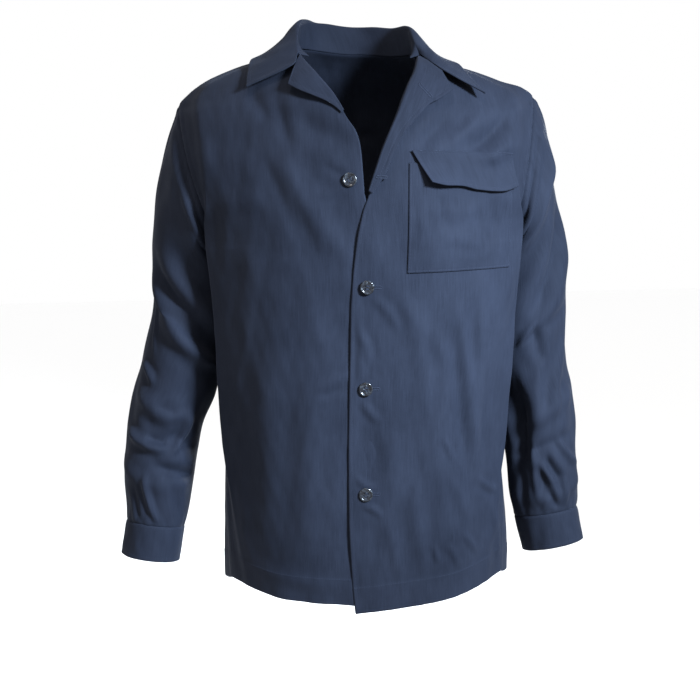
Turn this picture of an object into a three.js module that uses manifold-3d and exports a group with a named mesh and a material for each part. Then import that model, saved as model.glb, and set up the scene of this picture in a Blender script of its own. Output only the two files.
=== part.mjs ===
// A long-sleeved overshirt, hollow, in the shape that it has when it is worn.
// Millimetres. +Z is up, the wearer faces -Y and the wearer's left is +X.
// The origin is midway between the two points where the shoulder seams meet the neck.
// Every cloth piece is a wall worked out from sections: a short table gives the body's
// section at a few heights, a sleeve's ring at a few places along the arm, and so on.
import * as THREE from "three";
import { mergeVertices } from "three/addons/utils/BufferGeometryUtils.js";
import Module from "manifold-3d";

const wasm = await Module();
wasm.setup();

// A short table: each row's numbers under the names of its columns
function table(names, rows) {
  return rows.map((row) => Object.fromEntries(names.map((name, i) => [name, row[i]])));
}

// Driving sizes
const WALL = 1.6; // a cloth wall, seam allowances and hems averaged in
const APPLIED_WALL = 1.2; // pocket and flap, which lie on a front
const SEAM_GAP = 0.3; // between two pieces at a seam
const LAPPED_GAP = 2.4; // from the middle of the top front's wall to that of the front beneath
const LAP_X = { from: -75, full: -28 }; // the front beneath goes in by that gap over this width
const HEM_Z = -747; // lowest edge, at the centre of the top front
const HEM_FROM_Z = -610; // the hem's slope starts to show below this height
const HEM_ARC = 1.8; // how far the fronts' hem arches up between its middle and its side
const ARMHOLE_TOP_Z = -66;
const ARMHOLE_LOW_Z = -258;
const BUTTON_DIAMETER = 18.6;
const BUTTON_THICKNESS = 3.0;

// How the garment sits a little unevenly on its wearer
const FRONT_SHIFT = 8; // the chest of the shirt is drawn this far to the wearer's left
const FRONT_SHIFT_Z = -300;
const FRONT_SHIFT_SPREAD = 150;
const FRONT_SHIFT_DEPTH = { from: 10, full: 70 }; // only cloth this far forward is drawn over
const SHOULDER_TILT = 6; // right shoulder up, left shoulder down
const TILT_X = { full: 70, to: 195, gone: 242 }; // where the tilt is, out from the neck
const TILT_Z = { from: -150, full: -70 };

// Front sections: centre depth, a point on the chest, the fold by the sleeve, the seam.
// Down to the armhole the seam is the shoulder, then the armhole, then the side seam.
const FRONT_ROWS = table(
  ["z", "depth", "chestX", "chestY", "foldX", "foldY", "seamX", "seamY"],
  [
    [0, 60, 44, -42, 64, -18, 79, 14],
    [-10, 70, 62, -46, 94, -14, 112, 13],
    [-23, 82, 88, -50, 138, -16, 160, 12],
    [-38, 93, 104, -58, 176, -20, 200, 11],
    [-51, 101, 110, -68, 200, -24, 228, 10],
    [-66, 108, 112, -77, 210, -34, 243, 10],
    [-80, 113, 112, -86, 209, -48, 241, -8],
    [-110, 121, 112, -98, 207, -62, 236, -27],
    [-150, 129, 112, -110, 205, -72, 228, -44],
    [-195, 134, 112, -118, 207, -72, 216, -55],
    [-230, 136, 112, -120, 213, -60, 201, -38],
    [-250, 137, 112, -121, 212, -58, 182, -12],
    [-258, 137, 112, -121, 211.5, -58, 172, 14],
    [-275, 137, 112, -122, 210, -58, 162, 18],
    [-300, 137, 112, -122, 208, -58, 158, 20],
    [-370, 137, 112, -123, 203.5, -56, 166, 20],
    [-450, 138, 112, -124, 200, -53, 179, 14],
    [-530, 138, 112, -125, 196, -50, 190, -6],
    [-610, 139, 112, -125, 184, -66, 195, -34],
    [-680, 139, 112, -125, 170, -83, 192, -48],
    [-747, 139, 112, -125, 158, -94, 189, -58],
  ],
);

// Back sections: centre depth, a point on the shoulder blade, the corner, the side, the seam.
const BACK_ROWS = table(
  ["z", "depth", "bladeX", "bladeY", "cornerX", "cornerY", "sideX", "sideY", "seamX", "seamY"],
  [
    [0, 68, 42, 58, 66, 38, 74, 27, 79, 14],
    [-10, 80, 60, 62, 92, 38, 104, 27, 112, 13],
    [-23, 92, 86, 68, 134, 40, 150, 28, 160, 12],
    [-38, 100, 100, 80, 172, 42, 189, 28, 200, 11],
    [-51, 106, 106, 90, 198, 44, 217, 29, 228, 10],
    [-66, 111, 108, 98, 212, 52, 231, 32, 243, 10],
    [-80, 115, 110, 104, 213, 66, 230, 49, 241, 28],
    [-110, 120, 110, 112, 212, 84, 228, 70, 238, 53],
    [-150, 125, 110, 118, 209, 97, 222, 88, 231, 75],
    [-195, 127, 110, 120, 204, 103, 213, 98, 218, 88],
    [-230, 127, 110, 120, 202, 103, 206, 92, 201, 74],
    [-250, 127, 110, 120, 200, 103, 194, 78, 182, 44],
    [-258, 127, 110, 120, 199, 102, 186, 64, 172, 14],
    [-275, 127, 110, 120, 197, 101, 176, 60, 162, 18],
    [-300, 126, 110, 119, 195, 99, 171, 60, 158, 20],
    [-370, 123, 110, 116, 191, 93, 175, 58, 166, 20],
    [-450, 119, 110, 112, 188, 84, 184, 50, 179, 14],
    [-530, 117, 110, 110, 186, 74, 194, 36, 190, -6],
    [-610, 117, 110, 109, 189, 62, 201, 14, 195, -34],
    [-680, 118, 110, 109, 192, 54, 203, 0, 192, -48],
    [-747, 119, 110, 110, 193, 50, 204, -4, 189, -58],
  ],
);

// Inner edge of each front: the roll of the lapel down to the break, then the front edge.
const LEFT_FRONT_EDGE = table(
  ["z", "x"],
  [
    [-4, 83],
    [-27, 76],
    [-43, 66],
    [-65, 57],
    [-88, 47],
    [-116, 35],
    [-143, 24],
    [-182, 8],
    [-218, -3],
    [-240, -9],
    [-266, -14],
    [-296, -18],
    [-344, -21],
    [-450, -21],
    [-616, -22],
    [-706, -19],
    [-747, -16],
  ],
);
const RIGHT_FRONT_EDGE = table(
  ["z", "x"],
  [
    [-4, -79],
    [-18, -69],
    [-28, -61],
    [-41, -49],
    [-52, -38],
    [-65, -28],
    [-77, -20],
    [-94, -11],
    [-108, -4],
    [-123, 0],
    [-142, 1.5],
    [-182, 2],
    [-218, 8],
    [-266, 15],
    [-344, 17],
    [-747, 17],
  ],
);

// A lapel: where it leaves the roll, its outer edge, and how far that edge stands off the
// front. The first row is the gorge seam, and the row with a tip ends the notch.
const LAPEL_COLUMNS = ["rollX", "rollZ", "edgeX", "edgeZ", "stand", "tip"];
const LAPEL_ROWS = {
  right: table(LAPEL_COLUMNS, [
    [-71, -16, -77, -33, 9, false],
    [-60, -29, -85, -57, 11, true],
    [-51, -39, -69, -65, 10, false],
    [-42, -48, -54, -70, 8.5, false],
    [-33, -59, -39, -74, 6.5, false],
    [-25, -70, -28.5, -79, 4.5, false],
    [-18, -82, -19.5, -86, 3.5, false],
  ]),
  left: table(LAPEL_COLUMNS, [
    [82, -8, 110, -32, 9, false],
    [74, -29, 120, -58, 13, true],
    [69, -38, 103, -68, 11, false],
    [63, -50, 89, -74, 9, false],
    [56, -66, 76, -86, 7.5, false],
    [49, -84, 66, -97, 7, false],
    [41, -103, 56, -110, 6.5, false],
    [29, -130, 43, -136, 6, false],
    [17, -160, 29, -164, 5, false],
    [7, -186, 10, -189, 3.5, false],
  ]),
};

// The collar, from one end round the back of the neck to the other: its seam on the neck,
// the crest where it turns over, a point on the fall, and the outer edge.
const COLLAR_ROWS = table(
  ["name", "seam", "crest", "fall", "edge"],
  [
    ["right end", [-62, -48, -14], [-73, -50, -9], [-78, -68, -32], [-144, -70, -53]],
    ["right front", [-76, -19, -1.6], [-77, -24, 15], [-110, -34, -9], [-143, -41, -32]],
    ["right side", [-78, 12, 1.4], [-73, 12, 38], [-104, 8, 6], [-137, 4, -12.5]],
    ["right back", [-50, 52, 1.2], [-50, 56, 39], [-74, 80, 8], [-88, 97, -30]],
    ["centre back", [0, 68, 1.2], [0, 74, 39], [0, 98, 4], [0, 112, -36]],
    ["left back", [50, 52, 1.2], [50, 56, 39], [74, 80, 8], [88, 97, -30]],
    ["left side", [78, 12, 1.4], [73, 12, 38], [103, 8, 5], [135, 4, -12.5]],
    ["left front", [76, -17, -1.4], [80, -18, 16], [115, -30, -10], [151, -40, -34]],
    ["left end", [73, -28, -6], [86, -40, -2], [111, -66, -31], [168, -68, -56]],
  ],
);

// A sleeve's rings below the armhole, along the arm: centre, half width and half depth.
// The last ring is the cuff's end, and the one before it is the seam of sleeve and cuff.
const SLEEVE_COLUMNS = ["x", "y", "z", "across", "along"];
const SLEEVE_ROWS = {
  right: table(SLEEVE_COLUMNS, [
    [-235, 33, -296, 58, 65],
    [-237, 31, -350, 57, 63],
    [-251, 28, -400, 54, 60],
    [-265, 24, -456, 53, 58],
    [-280.5, 18, -500, 49.5, 56],
    [-289.5, 10, -544, 49.5, 54],
    [-294.5, 2, -588, 48.5, 52],
    [-298, -7, -630, 43, 48],
    [-301, -12, -653, 40, 44],
    [-309.5, -20, -700, 40, 43],
  ]),
  left: table(SLEEVE_COLUMNS, [
    [235, 33, -296, 58, 65],
    [236, 31, -350, 57, 63],
    [237, 28, -400, 55, 60],
    [241, 24, -456, 53, 58],
    [249, 18, -500, 50.5, 56],
    [254, 10, -544, 50, 54],
    [257, 2, -588, 49, 52],
    [258, -7, -628, 47.5, 48],
    [260, -11, -649, 43.5, 45],
    [269, -20, -695, 42, 43],
  ]),
};
const UNDERARM_GAP = 3.4; // sleeve and body hang side by side under the arm
// How a sleeve leaves the armhole: outward and down at the shoulder and under the arm, and
// how far it falls in again below the shoulder
const CAP_PULL = {
  right: { outward: 106, down: 245, underOutward: 64, underDown: 118, forward: 0.9, hollow: 0 },
  left: { outward: 130, down: 172, underOutward: 64, underDown: 118, forward: 0.9, hollow: 11 },
};

// The largest folds, as soft ridges: where each starts and ends on its panel (u across,
// z down), how far it stands out and how wide it is.
const FOLDS = {
  front_left: [
    { x0: 150, z0: -300, x1: 172, z1: -560, stand: 3.5, width: 12 },
    { x0: 40, z0: -318, x1: 120, z1: -420, stand: 2, width: 12 },
    { x0: 96, z0: -430, x1: 110, z1: -700, stand: 3, width: 20 },
  ],
  front_right: [
    { x0: -150, z0: -240, x1: -172, z1: -470, stand: 3, width: 14 },
    { x0: -60, z0: -420, x1: -86, z1: -690, stand: 2.5, width: 22 },
  ],
  back: [
    { x0: -120, z0: -250, x1: -96, z1: -640, stand: 5, width: 20 },
    { x0: 112, z0: -260, x1: 128, z1: -620, stand: 5, width: 22 },
    { x0: -10, z0: -340, x1: 16, z1: -700, stand: 4, width: 26 },
  ],
};
// Sleeve folds: place round the sleeve in degrees (0 outside, 90 front, 180 inside, 270 back)
const SLEEVE_FOLDS = {
  right: [
    { a0: 20, z0: -330, a1: 150, z1: -410, stand: -5, width: 11 },
    { a0: 30, z0: -462, a1: 150, z1: -506, stand: 6, width: 12 },
    { a0: 60, z0: -500, a1: 175, z1: -548, stand: -6, width: 11 },
    { a0: 10, z0: -560, a1: 130, z1: -600, stand: 4, width: 12 },
    { a0: 200, z0: -430, a1: 330, z1: -500, stand: 5, width: 13 },
    { a0: 210, z0: -540, a1: 320, z1: -590, stand: 4, width: 12 },
  ],
  left: [
    { a0: 20, z0: -350, a1: 140, z1: -420, stand: -4, width: 12 },
    { a0: 10, z0: -470, a1: 140, z1: -520, stand: 5, width: 12 },
    { a0: 30, z0: -530, a1: 150, z1: -560, stand: -5, width: 10 },
    { a0: 10, z0: -600, a1: 120, z1: -622, stand: 3.5, width: 10 },
    { a0: 210, z0: -440, a1: 330, z1: -510, stand: 5, width: 13 },
    { a0: 200, z0: -560, a1: 320, z1: -600, stand: 4, width: 12 },
  ],
};

// Pocket and flap on the wearer's left chest: corners and edge points as x and z
const POCKET = { topZ: -150, lowZ: -289, leftTop: 62, leftLow: 52, rightTop: 199, rightLow: 189 };
const FLAP_TOP = { leftX: 66, leftZ: -134, rightX: 199, rightZ: -141 };
const FLAP_LOW_EDGE = table(
  ["x", "z", "stand"],
  [
    [86, -176, 15],
    [103, -180, 13],
    [127, -181, 9],
    [146, -186, 8],
    [181, -189, 9],
    [202, -183, 9],
  ],
);

const BUTTONS = [
  { name: "button_top", x: -15, z: -169, on: "under" },
  { name: "button_chest", x: 0, z: -306, on: "top" },
  { name: "button_waist", x: 0, z: -439, on: "top" },
  { name: "button_low", x: 0.5, z: -581, on: "top" },
];
const LAPEL_BUTTON = { name: "button_lapel", down: 0.3, across: 0.5, gap: 1.3 };

// Numbers from tables

// A smooth value between the rows of a table, with no overshoot. The rows go down in z.
function columnAt(rows, key, z, by = "z") {
  const x = rows.map((row) => -row[by]);
  const y = rows.map((row) => row[key]);
  const at = Math.min(Math.max(-z, x[0]), x[x.length - 1]);
  let i = 0;
  while (i < x.length - 2 && at > x[i + 1]) {
    i += 1;
  }
  const rise = (k) => (y[k + 1] - y[k]) / (x[k + 1] - x[k]);
  const slope = (k) => {
    if (k === 0) return rise(0);
    if (k === x.length - 1) return rise(k - 1);
    const before = rise(k - 1);
    const after = rise(k);
    return before * after <= 0 ? 0 : (2 * before * after) / (before + after);
  };
  const span = x[i + 1] - x[i];
  const t = (at - x[i]) / span;
  return hermite(y[i], slope(i) * span, y[i + 1], slope(i + 1) * span, t);
}

function hermite(p0, t0, p1, t1, t) {
  const t2 = t * t;
  const t3 = t2 * t;
  return (2 * t3 - 3 * t2 + 1) * p0 + (t3 - 2 * t2 + t) * t0 + (3 * t2 - 2 * t3) * p1 + (t3 - t2) * t1;
}

function smoothstep(low, high, value) {
  const t = Math.min(Math.max((value - low) / (high - low), 0), 1);
  return t * t * (3 - 2 * t);
}

// A smooth curve through a few points, measured along its chords from 0 to 1.
class Through {
  constructor(points) {
    this.points = points;
    this.at = [0];
    for (let i = 1; i < points.length; i += 1) {
      this.at.push(this.at[i - 1] + points[i].distanceTo(points[i - 1]));
    }
    const whole = this.at[this.at.length - 1];
    this.at = this.at.map((value) => value / whole);
    this.slopes = points.map((_, i) => this.slope(i));
  }

  slope(i) {
    const last = this.points.length - 1;
    const before = Math.max(i - 1, 0);
    const after = Math.min(i + 1, last);
    return this.points[after].clone().sub(this.points[before]).divideScalar(this.at[after] - this.at[before]);
  }

  point(t) {
    const { at, points, slopes } = this;
    let i = 0;
    while (i < points.length - 2 && t > at[i + 1]) {
      i += 1;
    }
    const span = at[i + 1] - at[i];
    const s = (t - at[i]) / span;
    const axis = (k) =>
      hermite(
        points[i].getComponent(k),
        slopes[i].getComponent(k) * span,
        points[i + 1].getComponent(k),
        slopes[i + 1].getComponent(k) * span,
        s,
      );
    return new THREE.Vector3(axis(0), axis(1), axis(2));
  }

  // Where the curve passes a value of x, searched between two of its points
  whereX(x, first, last) {
    let low = this.at[first];
    let high = this.at[last];
    for (let step = 0; step < 40; step += 1) {
      const middle = (low + high) / 2;
      if (this.point(middle).x < x) {
        low = middle;
      } else {
        high = middle;
      }
    }
    return (low + high) / 2;
  }
}

// How unevenly the garment sits, as one smooth move of every point
function settled(point) {
  const p = point.clone();
  const near = Math.exp(-(((p.z - FRONT_SHIFT_Z) / FRONT_SHIFT_SPREAD) ** 2));
  p.x += FRONT_SHIFT * near * smoothstep(FRONT_SHIFT_DEPTH.from, FRONT_SHIFT_DEPTH.full, -point.y);
  const across = Math.abs(point.x);
  const out = smoothstep(0, TILT_X.full, across) * (1 - smoothstep(TILT_X.to, TILT_X.gone, across));
  p.z -= Math.sign(point.x) * SHOULDER_TILT * out * smoothstep(TILT_Z.from, TILT_Z.full, point.z);
  return p;
}

// Body sections

const frontSections = new Map();
function frontSection(z) {
  if (!frontSections.has(z)) {
    const row = (key) => columnAt(FRONT_ROWS, key, z);
    const half = [
      [row("seamX"), row("seamY")],
      [(row("seamX") + row("foldX")) / 2, (row("seamY") + row("foldY")) / 2],
      [row("foldX"), row("foldY")],
      [row("chestX"), row("chestY")],
    ];
    const points = [
      ...half.map(([x, y]) => new THREE.Vector3(-x, y, z)),
      new THREE.Vector3(0, -row("depth"), z),
      ...half.reverse().map(([x, y]) => new THREE.Vector3(x, y, z)),
    ];
    frontSections.set(z, new Through(points));
  }
  return frontSections.get(z);
}

function backSection(z) {
  const row = (key) => columnAt(BACK_ROWS, key, z);
  const half = [
    [row("seamX"), row("seamY")],
    [row("sideX"), row("sideY")],
    [row("cornerX"), row("cornerY")],
    [row("bladeX"), row("bladeY")],
  ];
  return new Through([
    ...half.map(([x, y]) => new THREE.Vector3(x, y, z)),
    new THREE.Vector3(0, row("depth"), z),
    ...half.reverse().map(([x, y]) => new THREE.Vector3(-x, y, z)),
  ]);
}

// A point of the front's surface under a given x and z, and the way out of it there
const FOLD_RIGHT = 2; // the points of a front section between which x only grows
const FOLD_LEFT = 6;
const BACK_CORNER = 2; // a back section's corner, counted from its seam
function onFront(x, z) {
  const section = frontSection(Math.round(z * 4) / 4);
  return section.point(section.whereX(x, FOLD_RIGHT, FOLD_LEFT)).setZ(z);
}

// How far in the front beneath lies
function lapped(x) {
  return LAPPED_GAP * smoothstep(LAP_X.from, LAP_X.full, x);
}

function outOfFront(x, z) {
  const step = 3;
  const across = onFront(x + step, z).sub(onFront(x - step, z));
  const up = onFront(x, z + step).sub(onFront(x, z - step));
  return across.cross(up).normalize();
}

// A fold rises over the first share of its length and sinks again over the last
const FOLD_FADE = { rise: [-0.15, 0.25], sink: [0.75, 1.15] };
function fade(along) {
  return smoothstep(...FOLD_FADE.rise, along) * (1 - smoothstep(...FOLD_FADE.sink, along));
}

// How far the folds push a point of a panel out
function foldPush(folds, x, z) {
  let push = 0;
  for (const { x0, z0, x1, z1, stand, width } of folds) {
    const dx = x1 - x0;
    const dz = z1 - z0;
    const along = ((x - x0) * dx + (z - z0) * dz) / (dx * dx + dz * dz);
    const off = ((x - x0) * dz - (z - z0) * dx) / Math.hypot(dx, dz);
    push += stand * fade(along) * Math.exp(-((off / width) ** 2));
  }
  return push;
}

// Walls

// A closed wall on a grid of points: its middle surface is grid[row][column], and the wall
// is as thick as asked, half on each side. A ring's columns close on themselves. Where
// two walls meet at a seam, rimOut gives the one way out that both rims share there.
const MITRE_LIMIT = 0.5; // the least cosine that a mitred rim is worked out with
function wall(grid, thickness, { ring = false, rimOut = () => null } = {}) {
  const rows = grid.length;
  const columns = grid[0].length;
  const clampTo = (value, count) => Math.min(Math.max(value, 0), count - 1);
  const column = (i) => (ring ? (i + columns) % columns : clampTo(i, columns));
  const positions = [];
  for (const side of [0.5, -0.5]) {
    for (let j = 0; j < rows; j += 1) {
      for (let i = 0; i < columns; i += 1) {
        const across = grid[j][column(i + 1)].clone().sub(grid[j][column(i - 1)]);
        const along = grid[clampTo(j + 1, rows)][i].clone().sub(grid[clampTo(j - 1, rows)][i]);
        const out = across.cross(along).normalize();
        const rim = rimOut(j, i);
        const facing = rim ? rim.dot(out) : 1;
        const slant = Math.sign(facing) * Math.max(Math.abs(facing), MITRE_LIMIT);
        const way = rim ? rim.clone().divideScalar(slant) : out;
        const p = grid[j][i].clone().addScaledVector(way, side * thickness);
        positions.push(p.x, p.y, p.z);
      }
    }
  }
  const outer = (j, i) => j * columns + column(i);
  const inner = (j, i) => rows * columns + j * columns + column(i);
  const faces = [];
  const quad = (a, b, c, d) => faces.push(a, b, c, a, c, d);
  const last = ring ? columns : columns - 1;
  for (let j = 0; j < rows - 1; j += 1) {
    for (let i = 0; i < last; i += 1) {
      quad(outer(j, i), outer(j, i + 1), outer(j + 1, i + 1), outer(j + 1, i));
      quad(inner(j, i), inner(j + 1, i), inner(j + 1, i + 1), inner(j, i + 1));
    }
    if (!ring) {
      quad(inner(j, 0), outer(j, 0), outer(j + 1, 0), inner(j + 1, 0));
      quad(outer(j, last), inner(j, last), inner(j + 1, last), outer(j + 1, last));
    }
  }
  for (let i = 0; i < last; i += 1) {
    quad(inner(0, i), inner(0, i + 1), outer(0, i + 1), outer(0, i));
    quad(outer(rows - 1, i), outer(rows - 1, i + 1), inner(rows - 1, i + 1), inner(rows - 1, i));
  }
  const geometry = new THREE.BufferGeometry();
  geometry.setAttribute("position", new THREE.Float32BufferAttribute(positions, 3));
  geometry.setIndex(faces);
  return facingOut(geometry);
}

// Turns a closed geometry's faces outwards if they point in
function facingOut(geometry) {
  const index = geometry.index.array;
  const p = geometry.attributes.position;
  const corner = [new THREE.Vector3(), new THREE.Vector3(), new THREE.Vector3()];
  let volume = 0;
  for (let i = 0; i < index.length; i += 3) {
    corner.forEach((c, k) => c.fromBufferAttribute(p, index[i + k]));
    volume += corner[0].dot(corner[1].clone().cross(corner[2]));
  }
  if (volume < 0) {
    for (let i = 0; i < index.length; i += 3) {
      [index[i], index[i + 1]] = [index[i + 1], index[i]];
    }
  }
  geometry.computeVertexNormals();
  return geometry;
}

// Values from a to b in equal steps
function steps(a, b, count) {
  return Array.from({ length: count + 1 }, (_, i) => a + ((b - a) * i) / count);
}

// The way out halfway between front and back at the shoulder seam or the side seam
const SEAM_STEP = 2; // the seam's direction is taken over this far up and down
const SEAM_STEP_SHARE = 0.01; // and a section's over this share of its length
function seamOut(side, z) {
  const seam = (at) =>
    new THREE.Vector3(side * columnAt(FRONT_ROWS, "seamX", at), columnAt(FRONT_ROWS, "seamY", at), at);
  const up = seam(z + SEAM_STEP).sub(seam(z - SEAM_STEP));
  const near = SEAM_STEP_SHARE;
  const front = frontSection(z);
  const back = backSection(z);
  const first = (section) => section.point(near).sub(section.point(0));
  const last = (section) => section.point(1).sub(section.point(1 - near));
  const frontWay = side > 0 ? last(front) : first(front);
  const backWay = side > 0 ? first(back) : last(back);
  return frontWay.cross(up).normalize().add(backWay.cross(up).normalize()).normalize();
}

// Above and below the armhole the two bodies' walls meet, beside it they don't
function seamRim(side, z) {
  return z >= ARMHOLE_TOP_Z || z <= ARMHOLE_LOW_Z ? seamOut(side, z) : null;
}

// Fronts and back

const SHOULDER_STEPS = 9;
const ARMHOLE_STEPS = 10;
const SIDE_STEPS = 13;
const BODY_HEIGHTS = [
  ...steps(0, ARMHOLE_TOP_Z, SHOULDER_STEPS),
  ...steps(ARMHOLE_TOP_Z, ARMHOLE_LOW_Z, ARMHOLE_STEPS).slice(1),
  ...steps(ARMHOLE_LOW_Z, HEM_Z, SIDE_STEPS).slice(1),
];
const FRONT_COLUMNS = 19;
const FRONT_SIDE_COLUMNS = 4; // of these, from the fold by the sleeve to the seam
const BACK_COLUMNS = 24;
const BACK_SIDE_COLUMNS = 5; // of these, from each corner to its seam
const LAPEL_BREAK_Z = { right: -84, left: -186 }; // where each lapel starts to roll back
const ROLL_BACK = 2.4; // the front's own edge stays this far behind the roll
const ROLL_BACK_FADE = { from: -24, full: -3 }; // and comes up to it below the break
const FOLDS_TO = { fade: 0.7, end: 0.8 }; // shares of a front's width that its folds reach
const HEM_RISE = {
  left: { centre: 0, side: 25 },
  right: { centre: 9, side: 25 },
  back: { centre: 5, side: 11, seam: 14 },
};
const HEM_TURN = 8; // how near its seams the back's hem turns up to meet the fronts'
const BACK_FOLD_SHARE = 2.5; // how soon the back's folds rise from its seams
const NECK_DIP = 4; // how far the front's neckline falls from the shoulder seam to the roll

function hemmed(z, lift) {
  return z + lift * Math.max(0, (HEM_FROM_Z - z) / (HEM_FROM_Z - HEM_Z));
}

// side is 1 for the wearer's left front, which is on top, and -1 for the right
function frontGrid(side) {
  const edge = side > 0 ? LEFT_FRONT_EDGE : RIGHT_FRONT_EDGE;
  const folds = side > 0 ? FOLDS.front_left : FOLDS.front_right;
  const hemRise = side > 0 ? HEM_RISE.left : HEM_RISE.right;
  return BODY_HEIGHTS.map((height, j) =>
    steps(0, 1, FRONT_COLUMNS).map((u, i) => {
      const dip = j === 0 ? NECK_DIP * (1 - u) : 0;
      const arc = HEM_ARC * Math.sin(Math.PI * u ** 3);
      const z = hemmed(height, hemRise.centre + (hemRise.side - hemRise.centre) * u + arc) - dip;
      const section = frontSection(z);
      const breakZ = side > 0 ? LAPEL_BREAK_Z.left : LAPEL_BREAK_Z.right;
      const rolled = smoothstep(breakZ + ROLL_BACK_FADE.from, breakZ + ROLL_BACK_FADE.full, z);
      const edgeX = columnAt(edge, "x", z) + side * ROLL_BACK * rolled;
      const start = section.whereX(edgeX, FOLD_RIGHT, FOLD_LEFT);
      const seam = side > 0 ? 1 - seamShare(section) : seamShare(section);
      const fold = section.at[side > 0 ? FOLD_LEFT : FOLD_RIGHT];
      const half = (start + seam) / 2;
      const knee = side > 0 ? Math.max(fold, half) : Math.min(fold, half);
      const p = section.point(shared(i, FRONT_COLUMNS, [start, knee, seam], FRONT_SIDE_COLUMNS));
      const push = foldPush(folds, p.x, z) * (1 - smoothstep(FOLDS_TO.fade, FOLDS_TO.end, u));
      p.y -= push;
      if (side < 0) {
        p.y += lapped(p.x);
      }
      return settled(p);
    }),
  );
}

// The place of column i when the last few columns are kept for the part after the knee.
// The columns lie closer together towards the knee, where the panel turns.
const CLOSER = 1.2;
function shared(i, columns, [start, knee, end], kept) {
  const before = columns - kept;
  const far = 1 - (1 - Math.min(i / before, 1)) ** CLOSER;
  return i <= before ? start + (knee - start) * far : knee + ((end - knee) * (i - before)) / kept;
}

// Half a seam gap as a share of a section's length
function seamShare(section) {
  const { points } = section;
  const length = points.reduce((sum, p, i) => (i ? sum + p.distanceTo(points[i - 1]) : 0), 0);
  return SEAM_GAP / 2 / length;
}

function backGrid() {
  const hemRise = HEM_RISE.back;
  const half = BACK_COLUMNS / 2;
  return BODY_HEIGHTS.map((height) =>
    steps(0, 1, BACK_COLUMNS).map((u, i) => {
      const out = Math.abs(2 * u - 1);
      const turned = hemRise.seam * out ** HEM_TURN;
      const z = hemmed(height, hemRise.centre + (hemRise.side - hemRise.centre) * out + turned);
      const section = backSection(z);
      const gap = seamShare(section);
      const t =
        i <= half
          ? shared(half - i, half, [0.5, section.at[BACK_CORNER], gap], BACK_SIDE_COLUMNS)
          : shared(i - half, half, [0.5, 1 - section.at[BACK_CORNER], 1 - gap], BACK_SIDE_COLUMNS);
      const p = section.point(t);
      const ends = Math.sin(Math.PI * u);
      p.y += foldPush(FOLDS.back, p.x, z) * Math.min(1, ends * BACK_FOLD_SHARE);
      return settled(p);
    }),
  );
}

// Sleeves and cuffs

// The armhole's seam: 0 at the shoulder, 90 degrees in front, 180 under the arm, 270 behind
function armhole(side, degrees) {
  const turn = (degrees * Math.PI) / 180;
  const z = ARMHOLE_TOP_Z + ((ARMHOLE_LOW_Z - ARMHOLE_TOP_Z) * (1 - Math.cos(turn))) / 2;
  const rows = degrees <= 180 ? FRONT_ROWS : BACK_ROWS;
  return new THREE.Vector3(side * columnAt(rows, "seamX", z), columnAt(rows, "seamY", z), z);
}

const SLEEVE_SIDES = 20;
const CAP_ROWS = 7;
const ARM_ROWS = 16;
const CAP_GAP = { over: 0.75, under: 2.75 }; // from the armhole's seam to the sleeve's rim
const ARRIVE_SHARE = 0.02; // the arm's direction at its first ring is taken over this share

function sleeveRing(side, row, degrees) {
  const turn = (degrees * Math.PI) / 180;
  return new THREE.Vector3(
    row.x + side * row.across * Math.cos(turn),
    row.y - row.along * Math.sin(turn),
    row.z,
  );
}

// The arm from one ring to another as a smooth curve for each place round it
function sleeveLine(side, rows, degrees, first, last) {
  return new Through(
    rows.slice(first, last + 1).map((row, k) => {
      const i = first + k;
      const before = rows[Math.max(i - 1, 0)];
      const after = rows[Math.min(i + 1, rows.length - 1)];
      const lean = (after.x - before.x) / (after.z - before.z);
      const pitch = (after.y - before.y) / (after.z - before.z);
      const p = sleeveRing(side, row, degrees);
      p.z -= lean * (p.x - row.x) + pitch * (p.y - row.y);
      return p;
    }),
  );
}

function sleeveFoldPush(folds, degrees, z) {
  let push = 0;
  for (const { a0, z0, a1, z1, stand, width } of folds) {
    const along = (degrees - a0) / (a1 - a0);
    const middle = z0 + (z1 - z0) * along;
    push += stand * fade(along) * Math.exp(-(((z - middle) / width) ** 2));
  }
  return push;
}

function pushedOut(p, rows, folds, degrees) {
  const centre = new THREE.Vector3(columnAt(rows, "x", p.z), columnAt(rows, "y", p.z), p.z);
  const out = p.clone().sub(centre).normalize();
  return p.addScaledVector(out, sleeveFoldPush(folds, degrees, p.z));
}

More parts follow.
